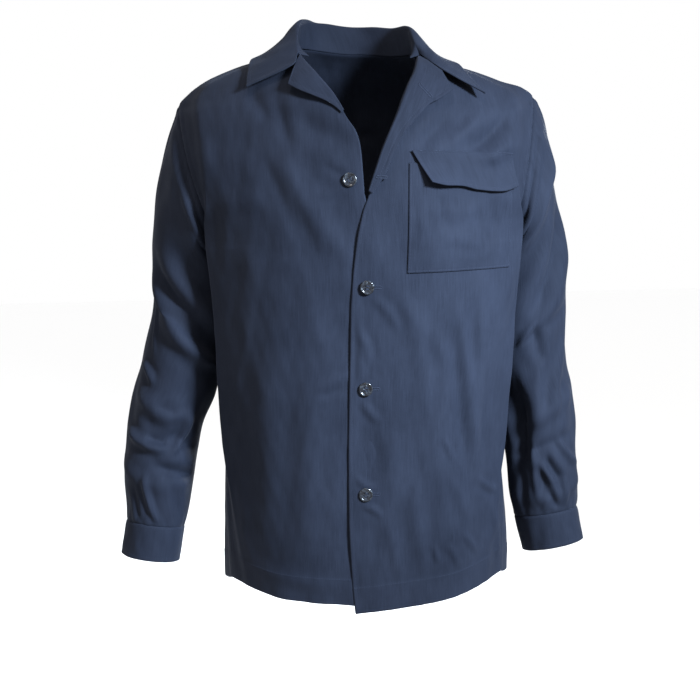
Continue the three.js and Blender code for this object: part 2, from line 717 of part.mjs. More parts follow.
function sleeveGrid(side) {
  const rows = side > 0 ? SLEEVE_ROWS.left : SLEEVE_ROWS.right;
  const folds = side > 0 ? SLEEVE_FOLDS.left : SLEEVE_FOLDS.right;
  const pull = side > 0 ? CAP_PULL.left : CAP_PULL.right;
  const grid = Array.from({ length: CAP_ROWS + ARM_ROWS }, () => []);
  for (let i = 0; i < SLEEVE_SIDES; i += 1) {
    const degrees = (360 * i) / SLEEVE_SIDES;
    const outside = (1 + Math.cos((degrees * Math.PI) / 180)) / 2;
    const start = armhole(side, degrees);
    const line = sleeveLine(side, rows, degrees, 0, rows.length - 2);
    const end = line.point(0);
    const under = 1 - outside;
    const leave = new THREE.Vector3(
      side * (pull.outward * outside + pull.underOutward * under),
      pull.forward * (end.y - start.y) * under,
      -(pull.down * outside + pull.underDown * under),
    );
    const gap = CAP_GAP.over * outside + CAP_GAP.under * under;
    start.addScaledVector(leave.clone().normalize(), gap);
    start.x += side * UNDERARM_GAP * under;
    const arrive = line.point(ARRIVE_SHARE).sub(end).normalize().multiplyScalar(start.distanceTo(end));
    const mix = (k, t) =>
      hermite(start.getComponent(k), leave.getComponent(k), end.getComponent(k), arrive.getComponent(k), t);
    for (let j = 0; j < CAP_ROWS; j += 1) {
      const t = j / CAP_ROWS;
      const hollow = pull.hollow * outside * (4 * t * (1 - t)) ** 2;
      grid[j].push(settled(new THREE.Vector3(mix(0, t) - side * hollow, mix(1, t), mix(2, t))));
    }
    steps(0, 1, ARM_ROWS - 1).forEach((t, j) => {
      const p = pushedOut(line.point(t), rows, folds, degrees);
      grid[CAP_ROWS + j].push(settled(p));
    });
  }
  return grid;
}

function cuffGrid(side) {
  const rows = side > 0 ? SLEEVE_ROWS.left : SLEEVE_ROWS.right;
  const grid = [[], [], []];
  for (let i = 0; i < SLEEVE_SIDES; i += 1) {
    const line = sleeveLine(side, rows, (360 * i) / SLEEVE_SIDES, rows.length - 2, rows.length - 1);
    const length = line.points[0].distanceTo(line.points[1]);
    steps(SEAM_GAP / length, 1, 2).forEach((t, j) => grid[j].push(settled(line.point(t))));
  }
  return grid;
}

// Collar and lapels

const COLLAR_KEYS = ["seam", "crest", "fall", "edge"];
const GORGE_GAP = 1.8; // between collar and lapel, where their walls meet at a slant
const GORGE_LIFT = { crest: 4.4, fall: 1.6 }; // the collar's end lies this far above the lapel
const COLLAR_COLUMNS = 26;
const CREST_AT = 0.33; // the share of COLLAR_PROFILE that is the stand
// The turn at the crest: its radius by the stand's height, and the points before and after
const COLLAR_TURN = { most: 6, least: 0.4, from: 8, share: 0.25, back: 0.25, out: 1.3, down: 0.8 };
const COLLAR_PROFILE = [0, 0.12, 0.24, 0.33, 0.4, 0.48, 0.6, 0.74, 0.87, 1];

// A row of the collar's table. At each end the crest and the fall are on the gorge seam,
// a gap above the lapel's own first row.
function collarRow(index) {
  const row = COLLAR_ROWS[index];
  const side = index === 0 ? -1 : 1;
  const points = Object.fromEntries(COLLAR_KEYS.map((key) => [key, new THREE.Vector3(...row[key])]));
  if (index === 0 || index === COLLAR_ROWS.length - 1) {
    const ends = [lapelPoint(side, 0, 0), lapelPoint(side, 0, 1)];
    const gorge = ends[1].clone().sub(ends[0]);
    const middle = lapelPoint(side, 0, 0.5);
    const out = outOfFront(middle.x, middle.z);
    const away = gorge.cross(out).normalize().multiplyScalar(-side * GORGE_GAP);
    points.crest = ends[0].add(away).addScaledVector(out, GORGE_LIFT.crest);
    points.fall = ends[1].add(away).addScaledVector(out, GORGE_LIFT.fall);
  }
  return points;
}

function collarGrid() {
  const rows = COLLAR_ROWS.map((_, index) => collarRow(index));
  const lines = COLLAR_KEYS.map((key) => new Through(rows.map((row) => row[key])));
  // Every row of the table is at an equal share of the collar's length
  const place = (line, s) => {
    const last = COLLAR_ROWS.length - 1;
    const i = Math.min(Math.floor(s * last), last - 1);
    const t = s * last - i;
    return line.point(line.at[i] + (line.at[i + 1] - line.at[i]) * t);
  };
  return COLLAR_PROFILE.map((w) =>
    steps(0, 1, COLLAR_COLUMNS).map((s) => {
      const [seam, crest, fall, edge] = lines.map((line) => place(line, s));
      const out = fall.clone().sub(crest).setZ(0).normalize();
      const { most, least, from, share, back, out: over, down } = COLLAR_TURN;
      const turn = Math.min(most, Math.max(least, (crest.distanceTo(seam) - from) * share));
      const before = crest.clone().addScaledVector(out, -turn * back).setZ(crest.z - turn);
      const after = crest.clone().addScaledVector(out, turn * over).setZ(crest.z - turn * down);
      const profile = new Through([seam, before, crest, after, fall, edge]);
      return settled(profileAt(profile, w));
    }),
  );
}

// Even shares of the stand and of the fall, so that a column's points match its neighbours'
function profileAt(profile, w) {
  const crest = profile.at[2];
  const t = w < CREST_AT ? (crest * w) / CREST_AT : crest + ((1 - crest) * (w - CREST_AT)) / (1 - CREST_AT);
  return profile.point(t);
}

const LAPEL_DOWN = 12;
const LAPEL_ACROSS = 5;
const ROLL_STAND = 4.2; // how far the lapel stands off its front at the roll
const ROLL_UNDER = [-0.9, 1.6]; // how far off the front the roll's own two columns are
const ROLL_SHARE = 0.04; // of a lapel's width
const LAPEL_TO = 0.985; // a lapel ends at this share of its roll line

function lapelPoint(side, down, across) {
  const rows = side > 0 ? LAPEL_ROWS.left : LAPEL_ROWS.right;
  const roll = new Through(rows.map((row) => new THREE.Vector3(row.rollX, 0, row.rollZ)));
  const tip = rows.findIndex((row) => row.tip);
  const edges = rows.map((row) => new THREE.Vector3(row.edgeX, row.stand, row.edgeZ));
  const above = new Through(edges.slice(0, tip + 1));
  const below = new Through(edges.slice(tip));
  const tipAt = roll.at[tip];
  const edge = down < tipAt ? above.point(down / tipAt) : below.point((down - tipAt) / (1 - tipAt));
  const start = roll.point(down);
  const x = start.x + (edge.x - start.x) * across;
  const z = start.z + (edge.z - start.z) * across;
  const stand = ROLL_STAND + (edge.y - ROLL_STAND) * Math.sqrt(across);
  const lowered = side < 0 ? lapped(x) : 0;
  return onFront(x, z).addScaledVector(outOfFront(x, z), stand - lowered);
}

// The lapel's own cloth goes on round the roll to the edge of the front
function lapelGrid(side) {
  return steps(0, LAPEL_TO, LAPEL_DOWN).map((down) => {
    const roll = lapelPoint(side, down, 0);
    const out = outOfFront(roll.x, roll.z);
    const under = ROLL_UNDER.map((off) => roll.clone().addScaledVector(out, off - ROLL_STAND));
    const over = steps(ROLL_SHARE, 1, LAPEL_ACROSS).map((across) => lapelPoint(side, down, across));
    return [...under, ...over].map(settled);
  });
}

// Pocket and flap

function onLeftFront(x, z, off) {
  const base = onFront(x, z);
  base.y -= foldPush(FOLDS.front_left, x, z);
  return settled(base.addScaledVector(outOfFront(x, z), off));
}

const PATCH_GAP = 0.5; // between a front and what is sewn flat on it
const POCKET_OFF = WALL / 2 + PATCH_GAP + APPLIED_WALL / 2;
const POCKET_COLUMNS = 12;
const POCKET_ROWS = 10;
const FLAP_COLUMNS = 12;
const FLAP_ROWS = 4;

function pocketGrid() {
  return steps(0, 1, POCKET_ROWS).map((v) =>
    steps(0, 1, POCKET_COLUMNS).map((step) => {
      const u = 1 - (1 - step) ** CLOSER;
      const left = POCKET.leftTop + (POCKET.leftLow - POCKET.leftTop) * v;
      const right = POCKET.rightTop + (POCKET.rightLow - POCKET.rightTop) * v;
      const z = POCKET.topZ + (POCKET.lowZ - POCKET.topZ) * v;
      return onLeftFront(left + (right - left) * u, z, POCKET_OFF);
    }),
  );
}

function flapGrid() {
  const low = new Through(FLAP_LOW_EDGE.map(({ x, z, stand }) => new THREE.Vector3(x, stand, z)));
  return steps(0, 1, FLAP_ROWS).map((v) =>
    steps(0, 1, FLAP_COLUMNS).map((u) => {
      const edge = low.point(u);
      const topX = FLAP_TOP.leftX + (FLAP_TOP.rightX - FLAP_TOP.leftX) * u;
      const topZ = FLAP_TOP.leftZ + (FLAP_TOP.rightZ - FLAP_TOP.leftZ) * u;
      const rise = 2 * POCKET_OFF + (edge.y - 2 * POCKET_OFF) * v * v;
      return onLeftFront(topX + (edge.x - topX) * v, topZ + (edge.z - topZ) * v, rise);
    }),
  );
}

// Buttons

function solid(geometry) {
  geometry.deleteAttribute("normal");
  geometry.deleteAttribute("uv");
  const merged = mergeVertices(geometry, 1e-4);
  return new wasm.Manifold(
    new wasm.Mesh({
      numProp: 3,
      vertProperties: new Float32Array(merged.attributes.position.array),
      triVerts: new Uint32Array(merged.index.array),
    }),
  );
}

function geometryOf(body) {
  const mesh = body.getMesh();
  const geometry = new THREE.BufferGeometry();
  geometry.setAttribute("position", new THREE.Float32BufferAttribute(mesh.vertProperties, 3));
  geometry.setIndex([...mesh.triVerts]);
  return facingOut(geometry);
}

const BUTTON_SIDES = 16;
const BUTTON_EDGE = { under: 1.6, widest: 1.4, round: 0.9, rim: 2.6, hollow: 1.0 };
const BUTTON_HOLE = { radius: 1.0, out: 1.9, sides: 5 };

// A four-hole button lying in the XY plane with its face up: a round-edged disc with a
// raised rim and a hollow middle.
function buttonGeometry() {
  const r = BUTTON_DIAMETER / 2;
  const t = BUTTON_THICKNESS;
  const outline = [
    [0, 0],
    [r - BUTTON_EDGE.under, 0],
    [r, BUTTON_EDGE.widest],
    [r - BUTTON_EDGE.round, t],
    [r - BUTTON_EDGE.rim, t - BUTTON_EDGE.round],
    [0, t - BUTTON_EDGE.hollow],
  ].map(([x, y]) => new THREE.Vector2(x, y));
  const disc = new THREE.LatheGeometry(outline, BUTTON_SIDES);
  disc.rotateX(Math.PI / 2);
  let body = solid(facingOut(mergeVertices(disc, 1e-4)));
  const { radius, out, sides } = BUTTON_HOLE;
  for (const [x, y] of [[1, 1], [1, -1], [-1, 1], [-1, -1]]) {
    const hole = new THREE.CylinderGeometry(radius, radius, 3 * t, sides);
    hole.rotateX(Math.PI / 2);
    hole.translate(x * out, y * out, t / 2);
    body = body.subtract(solid(hole));
  }
  return geometryOf(body);
}

// Assembly

const navy = new THREE.MeshStandardMaterial({ color: 0x262e42, roughness: 0.85, metalness: 0 });
const horn = new THREE.MeshStandardMaterial({ color: 0x17130f, roughness: 0.25, metalness: 0 });
const shirt = new THREE.Group();

function add(name, geometry, material = navy) {
  const mesh = new THREE.Mesh(geometry, material);
  mesh.name = name;
  shirt.add(mesh);
  return mesh;
}

function placeButton(name, seat, out) {
  const mesh = add(name, buttonGeometry(), horn);
  mesh.quaternion.setFromUnitVectors(new THREE.Vector3(0, 0, 1), out);
  mesh.position.copy(seat);
}

for (const [name, side] of [["left", 1], ["right", -1]]) {
  const rimOut = (j, i) => (i === FRONT_COLUMNS ? seamRim(side, BODY_HEIGHTS[j]) : null);
  add(`front_${name}`, wall(frontGrid(side), WALL, { rimOut }));
}
const backRim = (j, i) => {
  const side = i === 0 ? 1 : -1;
  return i === 0 || i === BACK_COLUMNS ? seamRim(side, BODY_HEIGHTS[j]) : null;
};
add("back", wall(backGrid(), WALL, { rimOut: backRim }));
for (const [name, side] of [["left", 1], ["right", -1]]) {
  add(`sleeve_${name}`, wall(sleeveGrid(side), WALL, { ring: true }));
  add(`cuff_${name}`, wall(cuffGrid(side), WALL, { ring: true }));
  add(`lapel_${name}`, wall(lapelGrid(side), WALL));
}
add("collar", wall(collarGrid(), WALL));
add("pocket", wall(pocketGrid(), APPLIED_WALL));
add("pocket_flap", wall(flapGrid(), APPLIED_WALL));

for (const { name, x, z, on } of BUTTONS) {
  const out = outOfFront(x, z);
  const seat = onFront(x, z);
  if (on === "under") {
    seat.y += lapped(x);
  }
  seat.addScaledVector(out, WALL / 2 + SEAM_GAP);
  placeButton(name, settled(seat), out);
}

// The button behind the right lapel, sewn to the side that is turned under
const lapelSpot = lapelPoint(-1, LAPEL_BUTTON.down, LAPEL_BUTTON.across);
const lapelAcross = lapelPoint(-1, LAPEL_BUTTON.down, LAPEL_BUTTON.across + 0.1).sub(lapelSpot);
const lapelDown = lapelPoint(-1, LAPEL_BUTTON.down + 0.05, LAPEL_BUTTON.across).sub(lapelSpot);
const intoFront = lapelAcross.cross(lapelDown).normalize();
intoFront.multiplyScalar(Math.sign(intoFront.y));
lapelSpot.addScaledVector(intoFront, WALL / 2 + LAPEL_BUTTON.gap);
placeButton(LAPEL_BUTTON.name, settled(lapelSpot), intoFront);

export default shirt;
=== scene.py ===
# %% [markdown]
# A navy overshirt in its worn shape. It is hollow: the neck, the hem, the cuffs and the
# armholes are open, and every piece is a thin shell of cloth.
# Each cut piece is built here again on the form of its solid, at a finer grain. A short
# table gives a few sections of the body or rings of a sleeve, a smooth curve runs through
# them, and soft ridges and troughs are then pressed into the cloth where it creases.
# The tables are in millimetres and Blender works in metres.

import math

import bpy
import numpy as np
from mathutils import Matrix, Vector


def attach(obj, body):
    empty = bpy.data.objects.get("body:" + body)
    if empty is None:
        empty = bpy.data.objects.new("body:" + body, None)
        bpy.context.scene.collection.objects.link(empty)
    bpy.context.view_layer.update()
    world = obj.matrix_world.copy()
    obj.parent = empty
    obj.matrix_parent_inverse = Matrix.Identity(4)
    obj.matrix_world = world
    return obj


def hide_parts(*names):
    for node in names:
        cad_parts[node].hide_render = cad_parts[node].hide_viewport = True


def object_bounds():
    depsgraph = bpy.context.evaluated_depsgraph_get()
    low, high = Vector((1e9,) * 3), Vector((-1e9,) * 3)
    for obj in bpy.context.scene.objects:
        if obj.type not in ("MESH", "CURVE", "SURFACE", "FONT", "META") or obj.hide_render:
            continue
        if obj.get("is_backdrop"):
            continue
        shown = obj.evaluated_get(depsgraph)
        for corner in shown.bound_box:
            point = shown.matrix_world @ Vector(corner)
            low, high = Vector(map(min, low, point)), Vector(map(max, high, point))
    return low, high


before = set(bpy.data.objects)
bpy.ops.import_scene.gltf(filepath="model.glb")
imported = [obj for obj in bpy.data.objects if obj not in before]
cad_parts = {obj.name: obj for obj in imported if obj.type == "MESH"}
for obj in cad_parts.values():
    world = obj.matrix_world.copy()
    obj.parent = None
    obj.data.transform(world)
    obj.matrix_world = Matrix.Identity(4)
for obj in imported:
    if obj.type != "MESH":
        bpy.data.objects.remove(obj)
cad_low, cad_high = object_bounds()
MM = 0.001
print("solids loaded:", len(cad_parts))

# %% [markdown]
# Reading a table smoothly. A table has a row for a few heights only, so the values between
# them come from a cubic that passes through every row and never swings past it. That keeps
# a seam from bulging between two rows, which a plain spline would let it do.

# %% Tables and curves


def hermite(start, leave, end, arrive, t):
    t2 = t * t
    t3 = t2 * t
    near = (2 * t3 - 3 * t2 + 1) * start + (t3 - 2 * t2 + t) * leave
    return near + (3 * t2 - 2 * t3) * end + (t3 - t2) * arrive


def smoothstep(low, high, value):
    t = np.clip((np.asarray(value, float) - low) / (high - low), 0, 1)
    return t * t * (3 - 2 * t)


def bump(value, width):
    """1 at zero, and softly down to nothing beyond the width."""
    return np.exp(-((value / width) ** 2))


def unit(vectors):
    return vectors / np.maximum(np.linalg.norm(vectors, axis=-1, keepdims=True), 1e-9)


class Table:
    """Rows of numbers under named columns, read smoothly between rows that go down in z."""

    def __init__(self, names, rows, by=None):
        self.column = dict(zip(names.split(), np.array(rows, float).T))
        self.by = by

    def __getitem__(self, name):
        return self.column[name]

    def at(self, name, z):
        x = -self.column[self.by]
        y = self.column[name]
        rise = np.diff(y) / np.diff(x)
        both = rise[:-1] * rise[1:]
        turn = np.where(both > 0, 2 * both / np.where(both > 0, rise[:-1] + rise[1:], 1), 0)
        slope = np.concatenate([rise[:1], turn, rise[-1:]])
        place = np.clip(-np.asarray(z, float), x[0], x[-1])
        i = np.clip(np.searchsorted(x, place) - 1, 0, len(x) - 2)
        span = x[i + 1] - x[i]
        return hermite(y[i], slope[i] * span, y[i + 1], slope[i + 1] * span, (place - x[i]) / span)


HALVINGS = 26


class Curves:
    """Smooth curves, each through its own row of points, run from 0 to 1 along the chords."""

    def __init__(self, points):
        self.points = np.asarray(points, float)
        chords = np.linalg.norm(np.diff(self.points, axis=1), axis=2)
        run = np.cumsum(chords, axis=1)
        self.length = run[:, -1]
        self.at = np.concatenate([np.zeros_like(run[:, :1]), run], 1) / run[:, -1:]
        count = self.points.shape[1]
        before = np.maximum(np.arange(count) - 1, 0)
        after = np.minimum(np.arange(count) + 1, count - 1)
        apart = (self.at[:, after] - self.at[:, before])[..., None]
        self.slope = (self.points[:, after] - self.points[:, before]) / apart

    def point(self, t):
        """The points at t, which has a row of places for each curve."""
        row = np.arange(len(self.points))[:, None]
        i = (t[:, :, None] > self.at[:, None, 1:-1]).sum(2)
        start = self.at[row, i]
        span = self.at[row, i + 1] - start
        wide = span[..., None]
        return hermite(
            self.points[row, i],
            self.slope[row, i] * wide,
            self.points[row, i + 1],
            self.slope[row, i + 1] * wide,
            ((t - start) / span)[..., None],
        )

    def where_x(self, x, first, last):
        """Where each curve passes its own x, between two of its points."""
        low = np.repeat(self.at[:, first : first + 1], x.shape[1], 1)
        high = np.repeat(self.at[:, last : last + 1], x.shape[1], 1)
        for _ in range(HALVINGS):
            middle = (low + high) / 2
            short = self.point(middle)[..., 0] < x
            low = np.where(short, middle, low)
            high = np.where(short, high, middle)
        return (low + high) / 2


check = Table("z x", [[0, 1], [-10, 2], [-20, 4]], "z")
print("a table read halfway between its rows:", float(check.at("x", -15)))

# %% [markdown]
# The body of the shirt. A front section runs from side seam to side seam over the chest, and
# a back section round the other half. From the neck down to the armhole their ends are the
# shoulder seam, then the armhole, then the side seam. Both stand well apart, because the
# cloth keeps the round form in which it hangs.

# %% Sections of the body
FRONT = Table(
    "z depth chestX chestY foldX foldY seamX seamY",
    [
        [0, 60, 44, -42, 64, -18, 79, 14],
        [-10, 70, 62, -46, 94, -14, 112, 13],
        [-23, 82, 88, -50, 138, -16, 160, 12],
        [-38, 93, 104, -58, 176, -20, 200, 11],
        [-51, 101, 110, -68, 200, -24, 228, 10],
        [-66, 108, 112, -77, 210, -34, 243, 10],
        [-80, 113, 112, -86, 209, -48, 241, -8],
        [-110, 121, 112, -98, 207, -62, 236, -27],
        [-150, 129, 112, -110, 205, -72, 228, -44],
        [-195, 134, 112, -118, 207, -72, 216, -55],
        [-230, 136, 112, -120, 213, -60, 201, -38],
        [-250, 137, 112, -121, 212, -58, 182, -12],
        [-258, 137, 112, -121, 211.5, -58, 172, 14],
        [-275, 137, 112, -122, 210, -58, 162, 18],
        [-300, 137, 112, -122, 208, -58, 158, 20],
        [-370, 137, 112, -123, 203.5, -56, 166, 20],
        [-450, 138, 112, -124, 200, -53, 179, 14],
        [-530, 138, 112, -125, 196, -50, 190, -6],
        [-610, 139, 112, -125, 184, -66, 195, -34],
        [-680, 139, 112, -125, 170, -83, 192, -48],
        [-747, 139, 112, -125, 158, -94, 189, -58],
    ],
    "z",
)
BACK = Table(
    "z depth crownX crownY cornerX cornerY sideX sideY seamX seamY",
    [
        [0, 68, 42, 58, 66, 38, 74, 27, 79, 14],
        [-10, 80, 60, 62, 92, 38, 104, 27, 112, 13],
        [-23, 92, 86, 68, 134, 40, 150, 28, 160, 12],
        [-38, 100, 100, 80, 172, 42, 189, 28, 200, 11],
        [-51, 106, 106, 90, 198, 44, 217, 29, 228, 10],
        [-66, 111, 108, 98, 212, 52, 231, 32, 243, 10],
        [-80, 115, 110, 104, 213, 66, 230, 49, 241, 28],
        [-110, 120, 110, 112, 212, 84, 228, 70, 238, 53],
        [-150, 125, 110, 118, 209, 97, 222, 88, 231, 75],
        [-195, 127, 110, 120, 204, 103, 213, 98, 218, 88],
        [-230, 127, 110, 120, 202, 103, 206, 92, 201, 74],
        [-250, 127, 110, 120, 200, 103, 194, 78, 182, 44],
        [-258, 127, 110, 120, 199, 102, 186, 64, 172, 14],
        [-275, 127, 110, 120, 197, 101, 176, 60, 162, 18],
        [-300, 126, 110, 119, 195, 99, 171, 60, 158, 20],
        [-370, 123, 110, 116, 191, 93, 175, 58, 166, 20],
        [-450, 119, 110, 112, 188, 84, 184, 50, 179, 14],
        [-530, 117, 110, 110, 186, 74, 194, 36, 190, -6],
        [-610, 117, 110, 109, 189, 62, 201, 14, 195, -34],
        [-680, 118, 110, 109, 192, 54, 203, 0, 192, -48],
        [-747, 119, 110, 110, 193, 50, 204, -4, 189, -58],
    ],
    "z",
)
FOLD_RIGHT, FOLD_LEFT = 2, 6
BACK_CORNER = 2
FLIP = np.array([-1, 1])


def corner(table, name, z):
    return np.stack([table.at(name + "X", z), table.at(name + "Y", z)], 1)


def front_sections(z):
    z = np.ravel(z)
    seam, fold, chest = (corner(FRONT, name, z) for name in ("seam", "fold", "chest"))
    half = [seam, (seam + fold) / 2, fold, chest]
    centre = np.stack([0 * z, -FRONT.at("depth", z)], 1)
    return Curves(np.stack([p * FLIP for p in half] + [centre] + half[::-1], 1))


def back_sections(z):
    z = np.ravel(z)
    half = [corner(BACK, name, z) for name in ("seam", "side", "corner", "crown")]
    centre = np.stack([0 * z, BACK.at("depth", z)], 1)
    return Curves(np.stack(half + [centre] + [p * FLIP for p in half[::-1]], 1))


def on_front(x, z):
    """The front's surface under each x and z."""
    x, z = np.broadcast_arrays(np.asarray(x, float), np.asarray(z, float))
    sections = front_sections(z)
    t = sections.where_x(x.reshape(-1, 1), FOLD_RIGHT, FOLD_LEFT)
    p = sections.point(t)[:, 0]
    return np.concatenate([p, z.reshape(-1, 1)], 1).reshape(x.shape + (3,))


OUT_STEP = 3.0


def out_of_front(x, z):
    """The way out of the front's surface at each x and z."""
    across = on_front(x + OUT_STEP, z) - on_front(x - OUT_STEP, z)
    up = on_front(x, z + OUT_STEP) - on_front(x, z - OUT_STEP)
    return unit(np.cross(across, up))


print("chest, middle of the front:", on_front(0.0, -300.0).round(1), "mm")

# %% [markdown]
# A worn shirt is never quite even. Its chest is drawn a little to one side, and one shoulder
# sits higher. Moving every point by one smooth rule keeps the seams together, so the pieces
# are built even and moved afterwards. The front beneath also lies in by a layer of cloth.

# %% How the shirt sits
CHEST_SHIFT = dict(by=8, z=-300, spread=150, start=10, full=70)
TILT = dict(by=6, full=70, to=195, gone=242, low=-150, high=-70)
LAP = dict(gap=2.4, start=-75, full=-28)


def settled(p):
    x, y, z = np.moveaxis(np.asarray(p, float), -1, 0)
    near = bump(z - CHEST_SHIFT["z"], CHEST_SHIFT["spread"])
    shift = CHEST_SHIFT["by"] * near * smoothstep(CHEST_SHIFT["start"], CHEST_SHIFT["full"], -y)
    across = np.abs(x)
    out = smoothstep(0, TILT["full"], across) * (1 - smoothstep(TILT["to"], TILT["gone"], across))
    drop = np.sign(x) * TILT["by"] * out * smoothstep(TILT["low"], TILT["high"], z)
    return np.stack([x + shift, y, z - drop], -1)


def lapped(x):
    return LAP["gap"] * smoothstep(LAP["start"], LAP["full"], x)


print("the right shoulder's point moves to", settled([-150.0, 10.0, -30.0]).round(1))

# %% [markdown]
# Creases. A crease in cloth is a soft ridge with a shallower trough beside it, and it fades
# at both ends. Each is one row: where it starts and ends on its piece, how far it bends
# sideways, how far it stands out (below zero for a trough) and its width. Modelling them
# this way keeps every fold where it should be, which a simulation of the cloth would not.

# %% Creases and gentle unevenness
# The columns of every list of creases: from_a, from_b, to_a, to_b, bend, stand and width
BESIDE = dict(depth=0.36, away=1.75, width=1.25)
FADE = dict(rise=(-0.1, 0.32), sink=(0.68, 1.1))


def creases(rows, a, b, turn=None, deeper=1.0):
    """How far a list of creases pushes the cloth out at a, b; turn is a full circle of a."""
    push = np.zeros(np.shape(a))
    for a0, b0, a1, b1, bend, stand, width in rows:
        da, db = a1 - a0, b1 - b0
        reach = a - a0
        if turn:
            reach = (reach - da / 2 + turn / 2) % turn - turn / 2 + da / 2
        length = math.hypot(da, db)
        along = (reach * da + (b - b0) * db) / length**2
        held = np.clip(along, 0, 1)
        off = (reach * db - (b - b0) * da) / length - bend * 4 * held * (1 - held)
        beside = bump(np.abs(off) - BESIDE["away"] * width, BESIDE["width"] * width)
        fade = smoothstep(*FADE["rise"], along) * (1 - smoothstep(*FADE["sink"], along))
        push += deeper * stand * fade * (bump(off, width) - BESIDE["depth"] * beside)
    return push


ACROSS_GRAIN = 1.5


def uneven(a, b, seed, size, height, count=14):
    """Gentle dents all over: waves of about one size in many directions."""
    draw = np.random.default_rng(seed)
    total = np.zeros(np.shape(a))
    for _ in range(count):
        way = draw.uniform(0, 2 * math.pi)
        wave = size * draw.uniform(0.7, 1.8)
        phase = draw.uniform(0, 2 * math.pi)
        total += np.sin((a * math.cos(way) * ACROSS_GRAIN + b * math.sin(way)) * 2 * math.pi / wave + phase)
    return height * total / math.sqrt(count / 2)


# The columns of the large folds: x0, z0, x1, z1, stand and width
BIG_FOLDS = {
    "front_left": [
        [150, -300, 172, -560, 3.5, 12],
        [40, -318, 120, -420, 2, 12],
        [96, -430, 110, -700, 3, 20],
    ],
    "front_right": [[-150, -240, -172, -470, 3, 14], [-60, -420, -86, -690, 2.5, 22]],
    "back": [
        [-120, -250, -96, -640, 5, 20],
        [112, -260, 128, -620, 5, 22],
        [-10, -340, 16, -700, 4, 26],
    ],
}
FOLD_RISE, FOLD_SINK = (-0.15, 0.25), (0.75, 1.15)


def fold_push(name, x, z):
    """The largest folds, which the solids have too."""
    push = np.zeros(np.shape(x))
    for x0, z0, x1, z1, stand, width in BIG_FOLDS[name]:
        dx, dz = x1 - x0, z1 - z0
        along = ((x - x0) * dx + (z - z0) * dz) / (dx * dx + dz * dz)
        off = ((x - x0) * dz - (z - z0) * dx) / math.hypot(dx, dz)
        fade = smoothstep(*FOLD_RISE, along) * (1 - smoothstep(*FOLD_SINK, along))
        push += stand * fade * bump(off, width)
    return push


print("large folds:", sum(len(rows) for rows in BIG_FOLDS.values()))

# %% [markdown]
# One piece of cloth. Real cloth has two faces and a turned edge, so a single sheet of faces
# would look like paper. Each piece starts as a grid of points on its middle surface. A
# relief moves them along the way out, and the grid is then thickened to a closed shell with
# a rounded rim. The lengths along the cloth are kept as its own map, for weave and stitches.

# %% A piece of cloth as a thin shell
SHELL = 1.0
RIM_ROUND = 0.34
# How far in from its edge each row of stitches runs
SEWN_AT = dict(
    front=4.0, shoulder=1.8, cuff_top=2.6, cuff=5.0, lapel=5.5, collar=5.5, pocket=2.4, flap=4.5, flap_top=3.0
)


def over_rows(grid, ring):
    if ring:
        return np.roll(grid, -1, 1) - np.roll(grid, 1, 1)
    return np.gradient(grid, axis=1)


def way_out(grid, ring):
    return unit(np.cross(over_rows(grid, ring), np.gradient(grid, axis=0)))


